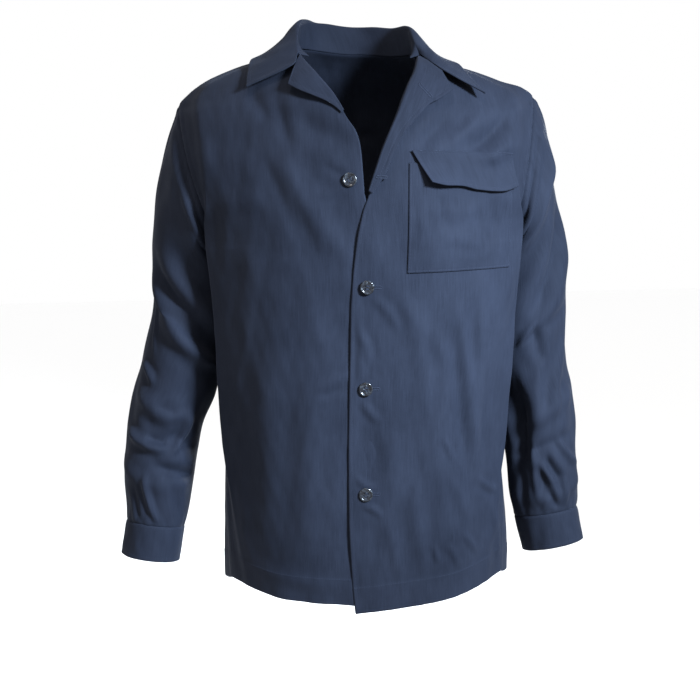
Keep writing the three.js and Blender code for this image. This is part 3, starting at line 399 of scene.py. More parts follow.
class Cloth:
    """A grid of points as a piece of cloth, in millimetres."""

    def __init__(self, name, points, facing, ring=False):
        self.name = name
        self.ring = ring
        self.middle = np.asarray(points, float)
        self.rows, self.columns = self.middle.shape[:2]
        out = way_out(self.middle, ring)
        self.sign = 1.0 if (out * facing).sum() > 0 else -1.0
        self.thickness = np.full((self.rows, self.columns), SHELL)
        self.grain = np.zeros((self.rows, 1))
        self.measure()

    def measure(self):
        """Lengths across and down the cloth, and so the distance from each edge."""
        closed = np.concatenate([self.middle, self.middle[:, :1]], 1) if self.ring else self.middle
        across = np.cumsum(np.linalg.norm(np.diff(closed, axis=1), axis=2), 1)
        down = np.cumsum(np.linalg.norm(np.diff(closed, axis=0), axis=2), 0)
        self.across = np.concatenate([np.zeros((self.rows, 1)), across], 1)
        self.down = np.concatenate([np.zeros((1, closed.shape[1])), down], 0)
        own = self.columns
        self.from_left = self.across[:, :own]
        self.from_right = (self.across[:, -1:] - self.across)[:, :own]
        self.from_top = self.down[:, :own]
        self.from_low = (self.down[-1:] - self.down)[:, :own]

    def out(self):
        return way_out(self.middle, self.ring) * self.sign

    def press(self, relief):
        """Moves the cloth out by the relief, and in where it is below zero."""
        self.middle = self.middle + self.out() * relief[..., None]

    def thicken(self, extra):
        self.thickness = self.thickness + extra

    def sewn_edge(self, distance, inset, puff=0.7, groove=0.45, shown=1.0):
        """A folded edge with a row of stitches: puffed up to the row, pulled in along it."""
        form = puff * bump(distance - inset * 0.42, inset * 0.55) - groove * bump(distance - inset, 1.0)
        self.thicken(form * shown)

    def turn_in(self, way, length):
        """Adds a row before the first one: the seam's allowance, turned in the given way."""
        self.middle = np.concatenate([self.middle[:1] + way[None] * length, self.middle])
        self.thickness = np.concatenate([self.thickness[:1], self.thickness])
        self.grain = np.concatenate([self.grain[:1], self.grain])
        self.rows += 1
        self.measure()

    def face(self):
        """The outer face's points and its way out."""
        out = self.out()
        return self.middle + out * self.thickness[..., None] / 2, out

    def area(self):
        across = over_rows(self.middle, self.ring)
        cells = np.linalg.norm(np.cross(across, np.gradient(self.middle, axis=0)), axis=2)
        return float(cells.sum() * (0.5 if self.ring else 1.0)) * MM * MM

    def build(self, material):
        rows, columns = self.rows, self.columns
        wide = columns + 1 if self.ring else columns
        face, out = self.face()
        back = face - out * self.thickness[..., None]
        spot = np.arange(rows)[:, None] * columns + np.arange(wide)[None, :] % columns
        cell = np.arange(rows * wide).reshape(rows, wide)
        if self.ring:
            loops = [cell[0], cell[-1][::-1]]
        else:
            sides = [cell[0, :-1], cell[:-1, -1], cell[-1, :0:-1], cell[:0:-1, 0], cell[0, :1]]
            loops = [np.concatenate(sides)]
        inward = self.middle.copy()
        inward[0], inward[-1] = self.middle[1], self.middle[-2]
        if not self.ring:
            inward[1:-1, 0], inward[1:-1, -1] = self.middle[1:-1, 1], self.middle[1:-1, -2]
            inward[0, 0], inward[0, -1] = self.middle[1, 1], self.middle[1, -2]
            inward[-1, 0], inward[-1, -1] = self.middle[-2, 1], self.middle[-2, -2]
        rims = self.middle + unit(self.middle - inward) * (self.thickness * RIM_ROUND)[..., None]
        count = rows * columns
        points = np.concatenate([face.reshape(-1, 3), back.reshape(-1, 3), rims.reshape(-1, 3)])
        a, b, c, d = cell[:-1, :-1], cell[:-1, 1:], cell[1:, 1:], cell[1:, :-1]
        front = np.stack([a, b, c, d], -1).reshape(-1, 4)
        flat = spot.ravel()
        quads = [flat[front], flat[front[:, ::-1]] + count]
        places = [front, front[:, ::-1]]
        for loop in loops:
            here, there = loop[:-1], loop[1:]
            band = np.stack([there, here, here, there], 1)
            quads.append(flat[band] + np.array([0, 0, 2, 2]) * count)
            quads.append(flat[band] + np.array([2, 2, 1, 1]) * count)
            places += [band, band]
        quads = np.concatenate(quads)
        places = np.concatenate(places)
        if self.sign < 0:
            quads, places = quads[:, ::-1], places[:, ::-1]
        used, quads = np.unique(quads, return_inverse=True)
        mesh = bpy.data.meshes.new(self.name + "_cloth")
        mesh.from_pydata((points[used] * MM).tolist(), [], quads.reshape(-1, 4).tolist())
        across = self.across + self.grain
        if self.ring:
            across = np.where(across > self.across[:, -1:] / 2, across - self.across[:, -1:], across)
        map_of_cut = np.stack([across.ravel(), self.down.ravel()], 1) * MM
        layer = mesh.uv_layers.new(name="cut")
        layer.data.foreach_set("uv", map_of_cut[places.ravel()].astype(np.float32).ravel())
        mesh.shade_smooth()
        obj = bpy.data.objects.new(self.name + "_cloth", mesh)
        bpy.context.scene.collection.objects.link(obj)
        mesh.materials.append(material)
        print(f"{self.name}: {len(mesh.polygons) * 2} triangles, {self.area():.4f} square metres of cloth")
        return obj

    def on_edge(self, edge, inset, start=0.0, end=1.0, step=1):
        """Places on the grid along a line at a distance in from one edge, as row and column."""
        if edge in ("left", "right"):
            lines = {"left": self.from_left, "right": self.from_right}[edge]
            rows = np.arange(int(start * (self.rows - 1)), int(end * (self.rows - 1)) + 1, step)
            order = slice(None) if edge == "left" else slice(None, None, -1)
            own = np.arange(self.columns)[order]
            columns = [np.interp(inset, lines[j][order], own) for j in rows]
            return np.stack([rows, columns], 1).astype(float)
        lines = {"top": self.from_top, "low": self.from_low}[edge]
        columns = np.arange(int(start * (self.columns - 1)), int(end * (self.columns - 1)) + 1, step)
        order = slice(None) if edge == "top" else slice(None, None, -1)
        own = np.arange(self.rows)[order]
        rows = [np.interp(inset, lines[:, i][order], own) for i in columns]
        return np.stack([rows, columns], 1).astype(float)

    def at(self, places):
        """The outer face at places between the grid's points, and the way out there."""
        face, out = self.face()
        j = np.clip(places[:, 0].astype(int), 0, self.rows - 2)
        last = self.columns - 1 if self.ring else self.columns - 2
        i = np.clip(places[:, 1].astype(int), 0, last)
        s, t = (places[:, 0] - j)[:, None], (places[:, 1] - i)[:, None]
        k = (i + 1) % self.columns

        def mixed(grid):
            above = grid[j, i] * (1 - t) + grid[j, k] * t
            below = grid[j + 1, i] * (1 - t) + grid[j + 1, k] * t
            return above * (1 - s) + below * s

        return mixed(face), unit(mixed(out))

    def over(self, x, z):
        """The outer face under points given by x and z, for a piece that faces forward."""
        face, out = self.face()
        flat, ways = face.reshape(-1, 3), out.reshape(-1, 3)
        spots, normals = [], []
        for px, pz in zip(x, z):
            near = np.argmin((flat[:, 0] - px) ** 2 + (flat[:, 2] - pz) ** 2)
            p, n = flat[near], ways[near]
            y = p[1] - (n[0] * (px - p[0]) + n[2] * (pz - p[2])) / min(n[1], -0.2)
            spots.append([px, y, pz])
            normals.append(n)
        return np.array(spots), np.array(normals)


def eased(count, low=0.0, high=0.0):
    """Places from 0 to 1, up to a share closer together at the low end, the high end or both."""
    t = np.linspace(0, 1, count)
    weight = 1 - low * bump(t, 0.08) - high * bump(1 - t, 0.08)
    run = np.concatenate([[0], np.cumsum((weight[1:] + weight[:-1]) / 2)])
    return run / run[-1]


print("places along an edge, closer at its ends:", eased(7, 0.6, 0.6).round(3))

# %% [markdown]
# The two fronts. The left one lies on top and carries the buttonholes. A front runs from the
# turn of its lapel, or its folded edge, across the chest, round a soft fold beside the
# sleeve, and to the seam. Its edge is a table of its own, since the two fronts lap.

# %% The fronts
FRONT_EDGE = {
    1: Table(
        "z x",
        [
            [-4, 83], [-27, 76], [-43, 66], [-65, 57], [-88, 47], [-116, 35],
            [-143, 24], [-182, 8], [-218, -3], [-240, -9], [-266, -14], [-296, -18],
            [-344, -21], [-450, -21], [-616, -22], [-706, -19], [-747, -16],
        ],
        "z",
    ),
    -1: Table(
        "z x",
        [
            [-4, -79], [-18, -69], [-28, -61], [-41, -49], [-52, -38], [-65, -28],
            [-77, -20], [-94, -11], [-108, -4], [-123, 0], [-142, 1.5], [-182, 2],
            [-218, 8], [-266, 15], [-344, 17], [-747, 17],
        ],
        "z",
    ),
}
SIDE = {1: "left", -1: "right"}
ARMHOLE_TOP, ARMHOLE_LOW, HEM = -66.0, -258.0, -747.0
HEM_FROM = -610.0
HEM_ARC = 1.8
HEM_RISE = {"front_left": (0, 25), "front_right": (9, 25), "back": (5, 11)}
HEM_TURN = dict(by=14, power=8)
HEM_DEPTH = 36.0
BREAK_AT = {1: -186.0, -1: -84.0}
ROLL_BACK, ROLL_FADE = 2.4, (-24.0, -3.0)
CAD_COLUMNS, CAD_SIDE = 19.0, 4.0
CLOSER = 1.2
NECK_DIP, DIP_OVER = 4.0, 7.33
SEAM_HALF_GAP = 0.1
SEAM_ROUND = 0.7
FRONT_GRID = 112
ABOVE_HEM = -705.0


def body_heights():
    parts = [
        np.linspace(0, ARMHOLE_TOP, 22),
        np.linspace(ARMHOLE_TOP, ARMHOLE_LOW, 64)[1:],
        np.linspace(ARMHOLE_LOW, ABOVE_HEM, 118)[1:],
        np.linspace(ABOVE_HEM, HEM, 26)[1:],
    ]
    return np.concatenate(parts)


def shared(place, columns, kept, start, knee, end):
    """A place across a panel, of which the last few columns are past the knee."""
    before = columns - kept
    far = 1 - (1 - np.minimum(place / before, 1)) ** CLOSER
    past = knee + (end - knee) * (place - before) / kept
    return np.where(place <= before, start + (knee - start) * far, past)


def hemmed(z, lift):
    return z + lift * np.maximum(0, (HEM_FROM - z) / (HEM_FROM - HEM))


def front_grid(side):
    name = "front_" + SIDE[side]
    centre, rise = HEM_RISE[name]
    u = eased(FRONT_GRID, 0.6, 0.5)[None, :]
    height = body_heights()[:, None]
    dip = NECK_DIP * (1 - u) * np.maximum(0, 1 + height / DIP_OVER)
    arc = HEM_ARC * np.sin(math.pi * u**3)
    z = hemmed(height, centre + (rise - centre) * u + arc) - dip
    sections = front_sections(z)
    rolled = smoothstep(BREAK_AT[side] + ROLL_FADE[0], BREAK_AT[side] + ROLL_FADE[1], z)
    edge = FRONT_EDGE[side].at("x", z) + side * ROLL_BACK * rolled
    start = sections.where_x(edge.reshape(-1, 1), FOLD_RIGHT, FOLD_LEFT)[:, 0]
    gap = SEAM_HALF_GAP / sections.length
    if side > 0:
        seam = 1 - gap
        knee = np.maximum(sections.at[:, FOLD_LEFT], (start + seam) / 2)
    else:
        seam = gap
        knee = np.minimum(sections.at[:, FOLD_RIGHT], (start + seam) / 2)
    place = np.broadcast_to(u * CAD_COLUMNS, z.shape).ravel()
    t = shared(place, CAD_COLUMNS, CAD_SIDE, start, knee, seam)
    xy = sections.point(t[:, None])[:, 0]
    x, y = xy[:, 0].reshape(z.shape), xy[:, 1].reshape(z.shape)
    y = y - fold_push(name, x, z) * (1 - smoothstep(0.7, 0.8, u))
    if side < 0:
        y = y + lapped(x)
    return np.stack([x, y, z], -1), u


# Where the creases of the two fronts lie, as x and z in millimetres
LEFT_CREASES = [
    [200, -82, 144, -136, -3, -3.8, 11],
    [120, -82, 70, -136, 0, -2.4, 11],
    [206, -122, 150, -150, -4, 2.6, 10],
    [160, -84, 112, -132, -1, 2.0, 9],
    [118, -335, 152, -590, -4, 3.2, 9],
    [110, -360, 140, -560, -1, -1.6, 9],
    [150, -345, 153, -500, 0, 1.8, 7],
    [153, -573, 184, -602, 2, 2.0, 4],
    [176, -615, 189, -712, -1, 1.8, 5],
    [104, -508, 118, -546, -1, 1.3, 3.5],
    [130, -644, 152, -680, -1, 1.5, 4],
    [110, -656, 125, -692, -1, 1.2, 4],
    [90, -655, 97, -682, 0, 1.1, 4],
    [119, -566, 136, -630, 0, 1.5, 6],
    [-6, -366, 3, -408, -2, 1.3, 5],
    [-4, -456, 18, -484, 1, 1.2, 5],
    [-13, -556, 15, -573, 4, 0.9, 4],
    [-5, -597, 22, -614, -4, 1.1, 4],
    [8, -319, 42, -364, -3, 1.0, 6],
    [-11, -346, -8, -430, -2, 1.0, 5],
    [50, -322, 78, -486, -9, 1.3, 11],
    [30, -480, 44, -600, 4, 1.2, 13],
    [22, -610, 46, -706, -3, 1.2, 12],
    [66, -560, 74, -690, 3, 1.6, 11],
    [205, -285, 186, -402, -5, -1.4, 8],
    [178, -420, 160, -540, 4, -1.5, 10],
    [60, -205, 96, -232, 2, 0.0, 8],
]
RIGHT_CREASES = [
    [-142, -58, -112, -100, 0, -2.4, 9],
    [-108, -66, -88, -128, 0, -2.6, 10],
    [-86, -90, -6, -124, 4, -3.2, 14],
    [-116, -129, -24, -276, 1, 2.6, 16],
    [-150, -112, -66, -262, -5, -1.5, 15],
    [-184, -199, -126, -186, 0, 1.6, 12],
    [-202, -104, -202, -172, 0, 1.8, 10],
    [-192, -188, -196, -300, 3, -1.5, 8],
    [-48, -150, -18, -166, 0, -1.2, 6],
    [-58, -190, -22, -176, 2, 0.9, 6],
    [-65, -440, -22, -420, -2, 1.2, 6],
    [-60, -450, -26, -437, 0, -1.0, 5],
    [-160, -684, -26, -708, 6, 0.9, 10],
    [-136, -355, -142, -656, -10, 1.8, 22],
    [-100, -400, -104, -640, 6, -1.2, 18],
    [-46, -490, -43, -704, -8, 1.5, 14],
    [-176, -330, -150, -470, 6, -1.4, 12],
    [-74, -300, -52, -400, 4, 0.9, 13],
    [-168, -560, -160, -700, 3, 1.4, 11],
]
BODY_DEEPER = {1: 1.7, -1: 1.25}
BESIDE_ARM = dict(low=-6, full=14, shoulder=(-78, -62), pucker=0.45)
ARM_RIDGE = dict(stand=0.9, away=5, width=3.4)
ARM_GROOVE = dict(stand=0.5, away=10.5, width=2.2)
PUCKER_PITCH = dict(front=17, back=19)


def front_relief(side, x, z):
    """How far the creases and the gentle unevenness push a front out."""
    rows = LEFT_CREASES if side > 0 else RIGHT_CREASES
    flat = 1 - smoothstep(BREAK_AT[side] - 40, BREAK_AT[side] + 10, z) * smoothstep(-20, 90, -np.abs(x) + 90)
    gentle = uneven(x, z * 0.6, 11 + side, 70, 0.5) + uneven(x, z * 0.7, 31 + side, 26, 0.16)
    return creases(rows, x, z, deeper=BODY_DEEPER[side]) + gentle * flat


def seam_dip(distance, width=1.6, depth=SEAM_ROUND):
    """Cloth turns in where it is sewn to its neighbour."""
    return -depth * bump(distance, width)


def armhole_seam(cloth, to_seam, z, pitch):
    """Beside the armhole the seam's allowance stands up, puckered, with a groove next to it."""
    below_shoulder = 1 - smoothstep(*BESIDE_ARM["shoulder"], z)
    beside = smoothstep(ARMHOLE_LOW + BESIDE_ARM["low"], ARMHOLE_LOW + BESIDE_ARM["full"], z) * below_shoulder
    puckers = 1 + BESIDE_ARM["pucker"] * np.sin(2 * math.pi * cloth.from_top / pitch)
    ridge = ARM_RIDGE["stand"] * bump(to_seam - ARM_RIDGE["away"], ARM_RIDGE["width"])
    groove = ARM_GROOVE["stand"] * bump(to_seam - ARM_GROOVE["away"], ARM_GROOVE["width"])
    return beside * (ridge * puckers - groove)


def hem(cloth):
    """The turned hem is thicker up to its stitches, which lie in a groove below its edge."""
    low = cloth.from_low
    band = 1 - smoothstep(HEM_DEPTH - 0.8, HEM_DEPTH + 0.8, low)
    cloth.thicken(0.9 * band + 0.35 * bump(low - HEM_DEPTH, 2.2) - 0.3 * bump(low - HEM_DEPTH + 2.2, 1.1))


def front(side):
    points, u = front_grid(side)
    x, z = points[..., 0], points[..., 2]
    cloth = Cloth("front_" + SIDE[side], points, np.array([0, -1, 0]))
    to_seam = cloth.from_right
    relief = front_relief(side, x, z)
    relief = relief * smoothstep(0, 16, to_seam) * smoothstep(-4, 14, cloth.from_left)
    relief += armhole_seam(cloth, to_seam, z, PUCKER_PITCH["front"])
    relief += smoothstep(-60, -20, z) * 0.6 * bump(to_seam - 4, 3)
    relief += seam_dip(to_seam)
    cloth.middle = settled(points)
    cloth.press(relief)
    hem(cloth)
    below_break = 1 - smoothstep(BREAK_AT[side] - 30, BREAK_AT[side] + 2, z)
    cloth.thicken(0.8 * below_break * (1 - smoothstep(3, 60, cloth.from_left)))
    cloth.sewn_edge(cloth.from_left, SEWN_AT["front"], puff=0.5, groove=0.3, shown=below_break)
    cloth.grain = side * x[:, :1]
    return cloth


cloths = {}
for side in (1, -1):
    cloths["front_" + SIDE[side]] = front(side)
    cloth = cloths["front_" + SIDE[side]]
    print(f"{cloth.name}: {cloth.rows} rows and {cloth.columns} columns, {cloth.area():.3f} square metres")

# %% [markdown]
# The back is one piece from shoulder seam to hem. Below its fullest place it hangs in a few
# long soft folds, with short drags where the sleeves pull on it.

# %% The back
BACK_GRID = 168
CAD_BACK, CAD_BACK_SIDE = 12.0, 5.0
BACK_CREASES = [
    [-188, -232, -112, -330, 8, 3.4, 13],
    [-196, -196, -128, -232, 6, 2.4, 9],
    [186, -226, 118, -318, -8, 3.2, 13],
    [194, -188, 134, -228, -6, 2.2, 9],
    [-120, -150, -60, -182, -6, 1.8, 12],
    [112, -142, 52, -178, 6, 1.8, 12],
    [-70, -215, -56, -420, 5, 2.0, 15],
    [64, -238, 44, -460, -5, 2.0, 16],
    [-30, -110, 34, -118, -4, 1.4, 11],
    [-172, -400, -96, -440, 8, 2.4, 9],
    [-168, -452, -110, -474, -5, 1.8, 8],
    [176, -388, 92, -436, -8, 2.6, 10],
    [170, -446, 116, -468, 5, 1.7, 7],
    [-36, -420, 30, -442, 5, 1.5, 10],
    [-52, -520, -40, -716, 4, 2.2, 15],
    [58, -500, 66, -722, -4, 2.4, 15],
    [-150, -520, -140, -706, -3, 2.2, 13],
    [156, -540, 150, -714, 3, 2.2, 12],
    [-90, -300, -84, -372, 3, -1.6, 8],
    [92, -488, 100, -600, 3, -1.8, 10],
    [6, -560, -4, -640, 4, -1.5, 9],
]
BACK_DEEPER = 1.3


def back_grid():
    centre, rise = HEM_RISE["back"]
    u = eased(BACK_GRID, 0.5, 0.5)[None, :]
    out = np.abs(2 * u - 1)
    lift = centre + (rise - centre) * out + HEM_TURN["by"] * out ** HEM_TURN["power"]
    z = hemmed(body_heights()[:, None], lift)
    sections = back_sections(z)
    gap = SEAM_HALF_GAP / sections.length
    corner_at = sections.at[:, BACK_CORNER]
    place = np.broadcast_to(np.abs(2 * u - 1) * CAD_BACK, z.shape).ravel()
    left = np.broadcast_to(u < 0.5, z.shape).ravel()
    knee = np.where(left, corner_at, 1 - corner_at)
    end = np.where(left, gap, 1 - gap)
    t = shared(place, CAD_BACK, CAD_BACK_SIDE, 0.5, knee, end)
    xy = sections.point(t[:, None])[:, 0]
    x, y = xy[:, 0].reshape(z.shape), xy[:, 1].reshape(z.shape)
    y = y + fold_push("back", x, z) * np.minimum(1, 2.5 * np.sin(math.pi * u))
    return np.stack([x, y, z], -1)


def back():
    points = back_grid()
    x, z = points[..., 0], points[..., 2]
    cloth = Cloth("back", points, np.array([0, 1, 0]))
    to_seam = np.minimum(cloth.from_left, cloth.from_right)
    relief = creases(BACK_CREASES, x, z, deeper=BACK_DEEPER) + uneven(x, z * 0.6, 51, 75, 0.7)
    relief += uneven(x, z * 0.7, 52, 27, 0.2)
    relief = relief * smoothstep(0, 16, to_seam) * smoothstep(0, 20, cloth.from_top)
    relief += armhole_seam(cloth, to_seam, z, PUCKER_PITCH["back"])
    relief += seam_dip(to_seam)
    cloth.middle = settled(points)
    cloth.press(relief)
    hem(cloth)
    cloth.grain = -cloth.across[:, BACK_GRID // 2, None]
    return cloth


cloths["back"] = back()
print("back", cloths["back"].rows, "rows and", cloths["back"].columns, "columns")

# %% [markdown]
# The sleeves. Each is one tube, set into the armhole and narrowing to the cuff. It is built
# as a ring of lines that run down its length: every line leaves the armhole with a pull of
# its own, and below it passes through rings that give the sleeve's place and size. An angle
# says where on the sleeve a point is: 0 outside, 90 in front, 180 inside and 270 behind.

# %% The sleeves
RING = "x y z across along"
SLEEVES = {
    -1: Table(
        RING,
        [
            [-235, 33, -296, 58, 65],
            [-237, 31, -350, 57, 63],
            [-251, 28, -400, 54, 60],
            [-265, 24, -456, 53, 58],
            [-280.5, 18, -500, 49.5, 56],
            [-289.5, 10, -544, 49.5, 54],
            [-294.5, 2, -588, 48.5, 52],
            [-298, -7, -630, 43, 48],
            [-301, -12, -653, 40, 44],
            [-309.5, -20, -700, 40, 43],
        ],
        "z",
    ),
    1: Table(
        RING,
        [
            [235, 33, -296, 58, 65],
            [236, 31, -350, 57, 63],
            [237, 28, -400, 55, 60],
            [241, 24, -456, 53, 58],
            [249, 18, -500, 50.5, 56],
            [254, 10, -544, 50, 54],
            [257, 2, -588, 49, 52],
            [258, -7, -628, 47.5, 48],
            [260, -11, -649, 43.5, 45],
            [269, -20, -695, 42, 43],
        ],
        "z",
    ),
}
CAP = {
    -1: dict(outward=106, down=245, under_out=64, under_down=118, forward=0.9, hollow=0),
    1: dict(outward=130, down=172, under_out=64, under_down=118, forward=0.9, hollow=11),
}
CAP_GAP = (0.4, 2.75)
UNDERARM_GAP = 3.4
ARRIVE = 0.02
SLEEVE_GRID = (52, 150, 148)
SLEEVE_FOLDS = {
    -1: [
        [20, -330, 150, -410, -5, 11],
        [30, -462, 150, -506, 6, 12],
        [60, -500, 175, -548, -6, 11],
        [10, -560, 130, -600, 4, 12],
        [200, -430, 330, -500, 5, 13],
        [210, -540, 320, -590, 4, 12],
    ],
    1: [
        [20, -350, 140, -420, -4, 12],
        [10, -470, 140, -520, 5, 12],
        [30, -530, 150, -560, -5, 10],
        [10, -600, 120, -622, 3.5, 10],
        [210, -440, 330, -510, 5, 13],
        [200, -560, 320, -600, 4, 12],
    ],
}
# Creases on the sleeves, as degrees and z, then bend, stand and width
SLEEVE_CREASES = {
    -1: [
        [25, -268, 168, -405, 18, -7.0, 13],
        [25, -302, 160, -432, 18, 4.2, 9],
        [62, -250, 140, -340, 8, -5.0, 20],
        [28, -335, 50, -408, 0, 1.4, 3],
        [26, -418, 62, -450, -2, 2.8, 5],
        [18, -508, 114, -538, 6, 3.6, 7],
        [114, -548, 127, -488, 12, 3.6, 7],
        [70, -520, 110, -532, 0, -3.5, 7],
        [76, -474, 112, -490, 0, -2.6, 7],
        [85, -558, 172, -586, 1, -4.0, 8],
        [75, -570, 102, -640, 7, 3.0, 5.5],
        [52, -590, 66, -640, 2, -1.6, 6],
        [90, -92, 126, -216, -3, -4.4, 10],
        [40, -100, 70, -200, -8, 2.0, 14],
        [124, -590, 146, -636, 0, -2.0, 8],
        [300, -110, 262, -230, 10, 3.0, 14],
        [250, -170, 218, -262, 6, -2.6, 10],
        [322, -250, 250, -360, -12, 2.6, 12],
        [296, -380, 214, -440, 9, 3.0, 10],
        [330, -446, 262, -474, -4, -2.4, 9],
        [300, -500, 224, -530, -8, 2.6, 9],
        [334, -556, 268, -572, 4, 2.2, 8],
        [246, -590, 236, -642, -4, 2.0, 7],
        [296, -600, 306, -645, 2, 1.6, 8],
        [196, -330, 214, -420, 6, 2.2, 9],
        [-14, -420, 8, -540, -8, 2.0, 13],
    ],
    1: [
        [66, -96, 126, -172, 0, -5.6, 10],
        [20, -120, 138, -316, 0, 5.4, 13],
        [14, -205, 96, -376, 2, -6.6, 14],
        [88, -376, 80, -430, 0, -2.4, 9],
        [146, -190, 164, -330, 0, -5.0, 12],
        [148, -428, 128, -545, 0, -7.0, 16],
        [84, -428, 100, -524, 0, 2.4, 9],
        [86, -372, 114, -408, 0, 2.4, 5],
        [22, -384, 86, -512, 3, 2.6, 10],
        [121, -436, 152, -600, 12, -5.6, 11],
        [106, -566, 76, -624, 5, 3.0, 6],
        [71, -532, 24, -578, -6, 2.6, 6],
        [94, -556, 64, -594, -4, -3.2, 7],
        [110, -534, 107, -624, -3, 2.6, 6],
        [63, -580, 60, -636, 0, 2.0, 6],
        [90, -606, 76, -634, 0, -2.4, 6],
        [133, -580, 136, -634, 0, -3.0, 8],
        [44, -452, 60, -500, 3, -1.6, 8],
        [62, -92, 48, -190, 6, 2.0, 13],
        [298, -120, 260, -236, 10, 3.0, 14],
        [244, -180, 216, -268, 6, -2.6, 10],
        [318, -262, 248, -352, -12, 2.4, 12],
        [300, -396, 216, -446, 9, 2.8, 10],
        [332, -462, 258, -486, -4, -2.2, 9],
        [296, -520, 222, -544, -8, 2.6, 9],
        [330, -574, 266, -590, 4, 2.0, 8],
        [244, -596, 238, -640, -4, 1.8, 7],
        [194, -318, 216, -410, 6, 2.2, 9],
        [-16, -430, 10, -556, -8, 2.0, 13],
    ],
}
SLEEVE_DEEPER = 1.6
RIPPLES = dict(many=15, strong=0.5, finer=23, weak=0.3)
# The armhole seam's allowance lies inside the body, so that no light comes through the seam
TURNED_IN = dict(wide=9.0, lean=0.25)
# The head of the sleeve is fuller in front, in degrees round it and millimetres below the seam
HEAD = dict(at=105, spread=52)
HEAD_RIDGE = dict(stand=3.2, below=27, width=9)
HEAD_TROUGH = dict(depth=5.4, below=11, width=6)


def armhole(side, degrees):
    turn = np.radians(degrees)
    z = ARMHOLE_TOP + (ARMHOLE_LOW - ARMHOLE_TOP) * (1 - np.cos(turn)) / 2
    front_half = degrees <= 180
    x = np.where(front_half, FRONT.at("seamX", z), BACK.at("seamX", z))
    y = np.where(front_half, FRONT.at("seamY", z), BACK.at("seamY", z))
    return np.stack([side * x, y, z], 1)


def sleeve_lines(side, degrees, first, last):
    """The sleeve as smooth lines, one for each angle, through rings that lean with it."""
    rows = SLEEVES[side]
    turn = np.radians(degrees)
    count = len(rows["z"])
    points = []
    for k in range(first, last + 1):
        before, after = max(k - 1, 0), min(k + 1, count - 1)
        fall = rows["z"][after] - rows["z"][before]
        lean = (rows["x"][after] - rows["x"][before]) / fall
        pitch = (rows["y"][after] - rows["y"][before]) / fall
        dx = side * rows["across"][k] * np.cos(turn)
        dy = -rows["along"][k] * np.sin(turn)
        z = rows["z"][k] - lean * dx - pitch * dy
        points.append(np.stack([rows["x"][k] + dx, rows["y"][k] + dy, z], 1))
    return Curves(np.stack(points, 1))


def sleeve_grid(side):
    cap_rows, arm_rows, sides = SLEEVE_GRID
    degrees = np.arange(sides) * 360 / sides
    outside = (1 + np.cos(np.radians(degrees))) / 2
    under = 1 - outside
    pull = CAP[side]
    lines = sleeve_lines(side, degrees, 0, len(SLEEVES[side]["z"]) - 2)
    start = armhole(side, degrees)
    end, soon = lines.point(np.tile([0, ARRIVE], (sides, 1))).transpose(1, 0, 2)
    leave = np.stack(
        [
            side * (pull["outward"] * outside + pull["under_out"] * under),
            pull["forward"] * (end[:, 1] - start[:, 1]) * under,
            -(pull["down"] * outside + pull["under_down"] * under),
        ],
        1,
    )
    start = start + unit(leave) * (CAP_GAP[0] * outside + CAP_GAP[1] * under)[:, None]
    start[:, 0] += side * UNDERARM_GAP * under
    arrive = unit(soon - end) * np.linalg.norm(end - start, axis=1)[:, None]
    t = np.linspace(0, 1, cap_rows + 1)[:-1, None, None]
    cap = hermite(start, leave, end, arrive, t)
    cap[..., 0] -= side * pull["hollow"] * outside * (4 * t[..., 0] * (1 - t[..., 0])) ** 2
    places = np.tile(eased(arm_rows, 0, 0.5), (sides, 1))
    arm = lines.point(places).transpose(1, 0, 2)
    z = arm[..., 2]
    centre = np.stack([SLEEVES[side].at("x", z), SLEEVES[side].at("y", z), z], -1)
    push = np.zeros(z.shape)
    for a0, z0, a1, z1, stand, width in SLEEVE_FOLDS[side]:
        along = (degrees[None, :] - a0) / (a1 - a0)
        fade = smoothstep(*FOLD_RISE, along) * (1 - smoothstep(*FOLD_SINK, along))
        push += stand * fade * bump(z - z0 - (z1 - z0) * along, width)
    arm = arm + unit(arm - centre) * push[..., None]
    return np.concatenate([cap, arm]), degrees


def sleeve(side):
    points, degrees = sleeve_grid(side)
    z = points[..., 2]
    turn = np.broadcast_to(degrees[None, :], z.shape)
    centre = np.stack([SLEEVES[side].at("x", z), SLEEVES[side].at("y", z), z], -1)
    cloth = Cloth("sleeve_" + SIDE[side], points, points - centre, ring=True)
    relief = creases(SLEEVE_CREASES[side], turn, z, 360, SLEEVE_DEEPER)
    circle = np.radians(turn)
    gentle = uneven(60 * np.sin(circle), z * 0.7 + 24 * np.cos(circle), 71 + side, 60, 0.45)
    relief = (relief + gentle) * smoothstep(0, 22, cloth.from_top) * smoothstep(0, 10, cloth.from_low)
    ripple = np.sin(turn * math.pi / 180 * RIPPLES["many"] + side) * RIPPLES["strong"]
    ripple += np.sin(turn * math.pi / 180 * RIPPLES["finer"]) * RIPPLES["weak"]
    relief += ripple * bump(cloth.from_low - 8, 9)
    relief += 0.9 * bump(cloth.from_top - 7, 5) * (1 + 0.3 * ripple)
    relief += seam_dip(cloth.from_top, 2.2, 0.9) + seam_dip(cloth.from_low, 1.6, 0.8)
    in_front = bump(turn - HEAD["at"], HEAD["spread"])
    ridge = HEAD_RIDGE["stand"] * bump(cloth.from_top - HEAD_RIDGE["below"], HEAD_RIDGE["width"])
    trough = HEAD_TROUGH["depth"] * bump(cloth.from_top - HEAD_TROUGH["below"], HEAD_TROUGH["width"])
    relief += in_front * (ridge - trough)
    cloth.middle = settled(points)
    cloth.press(relief)
    edge = cloth.middle[0]
    to_centre = unit(edge.mean(axis=0) - edge) * [0, 1, 1]
    cloth.turn_in(unit(to_centre * TURNED_IN["lean"] - [side, 0, 0]), TURNED_IN["wide"])
    return cloth


for side in (1, -1):
    cloth = sleeve(side)
    cloths[cloth.name] = cloth
    print("sleeve", SIDE[side], "armhole, mm:", round(float(cloth.across[1, -1])))

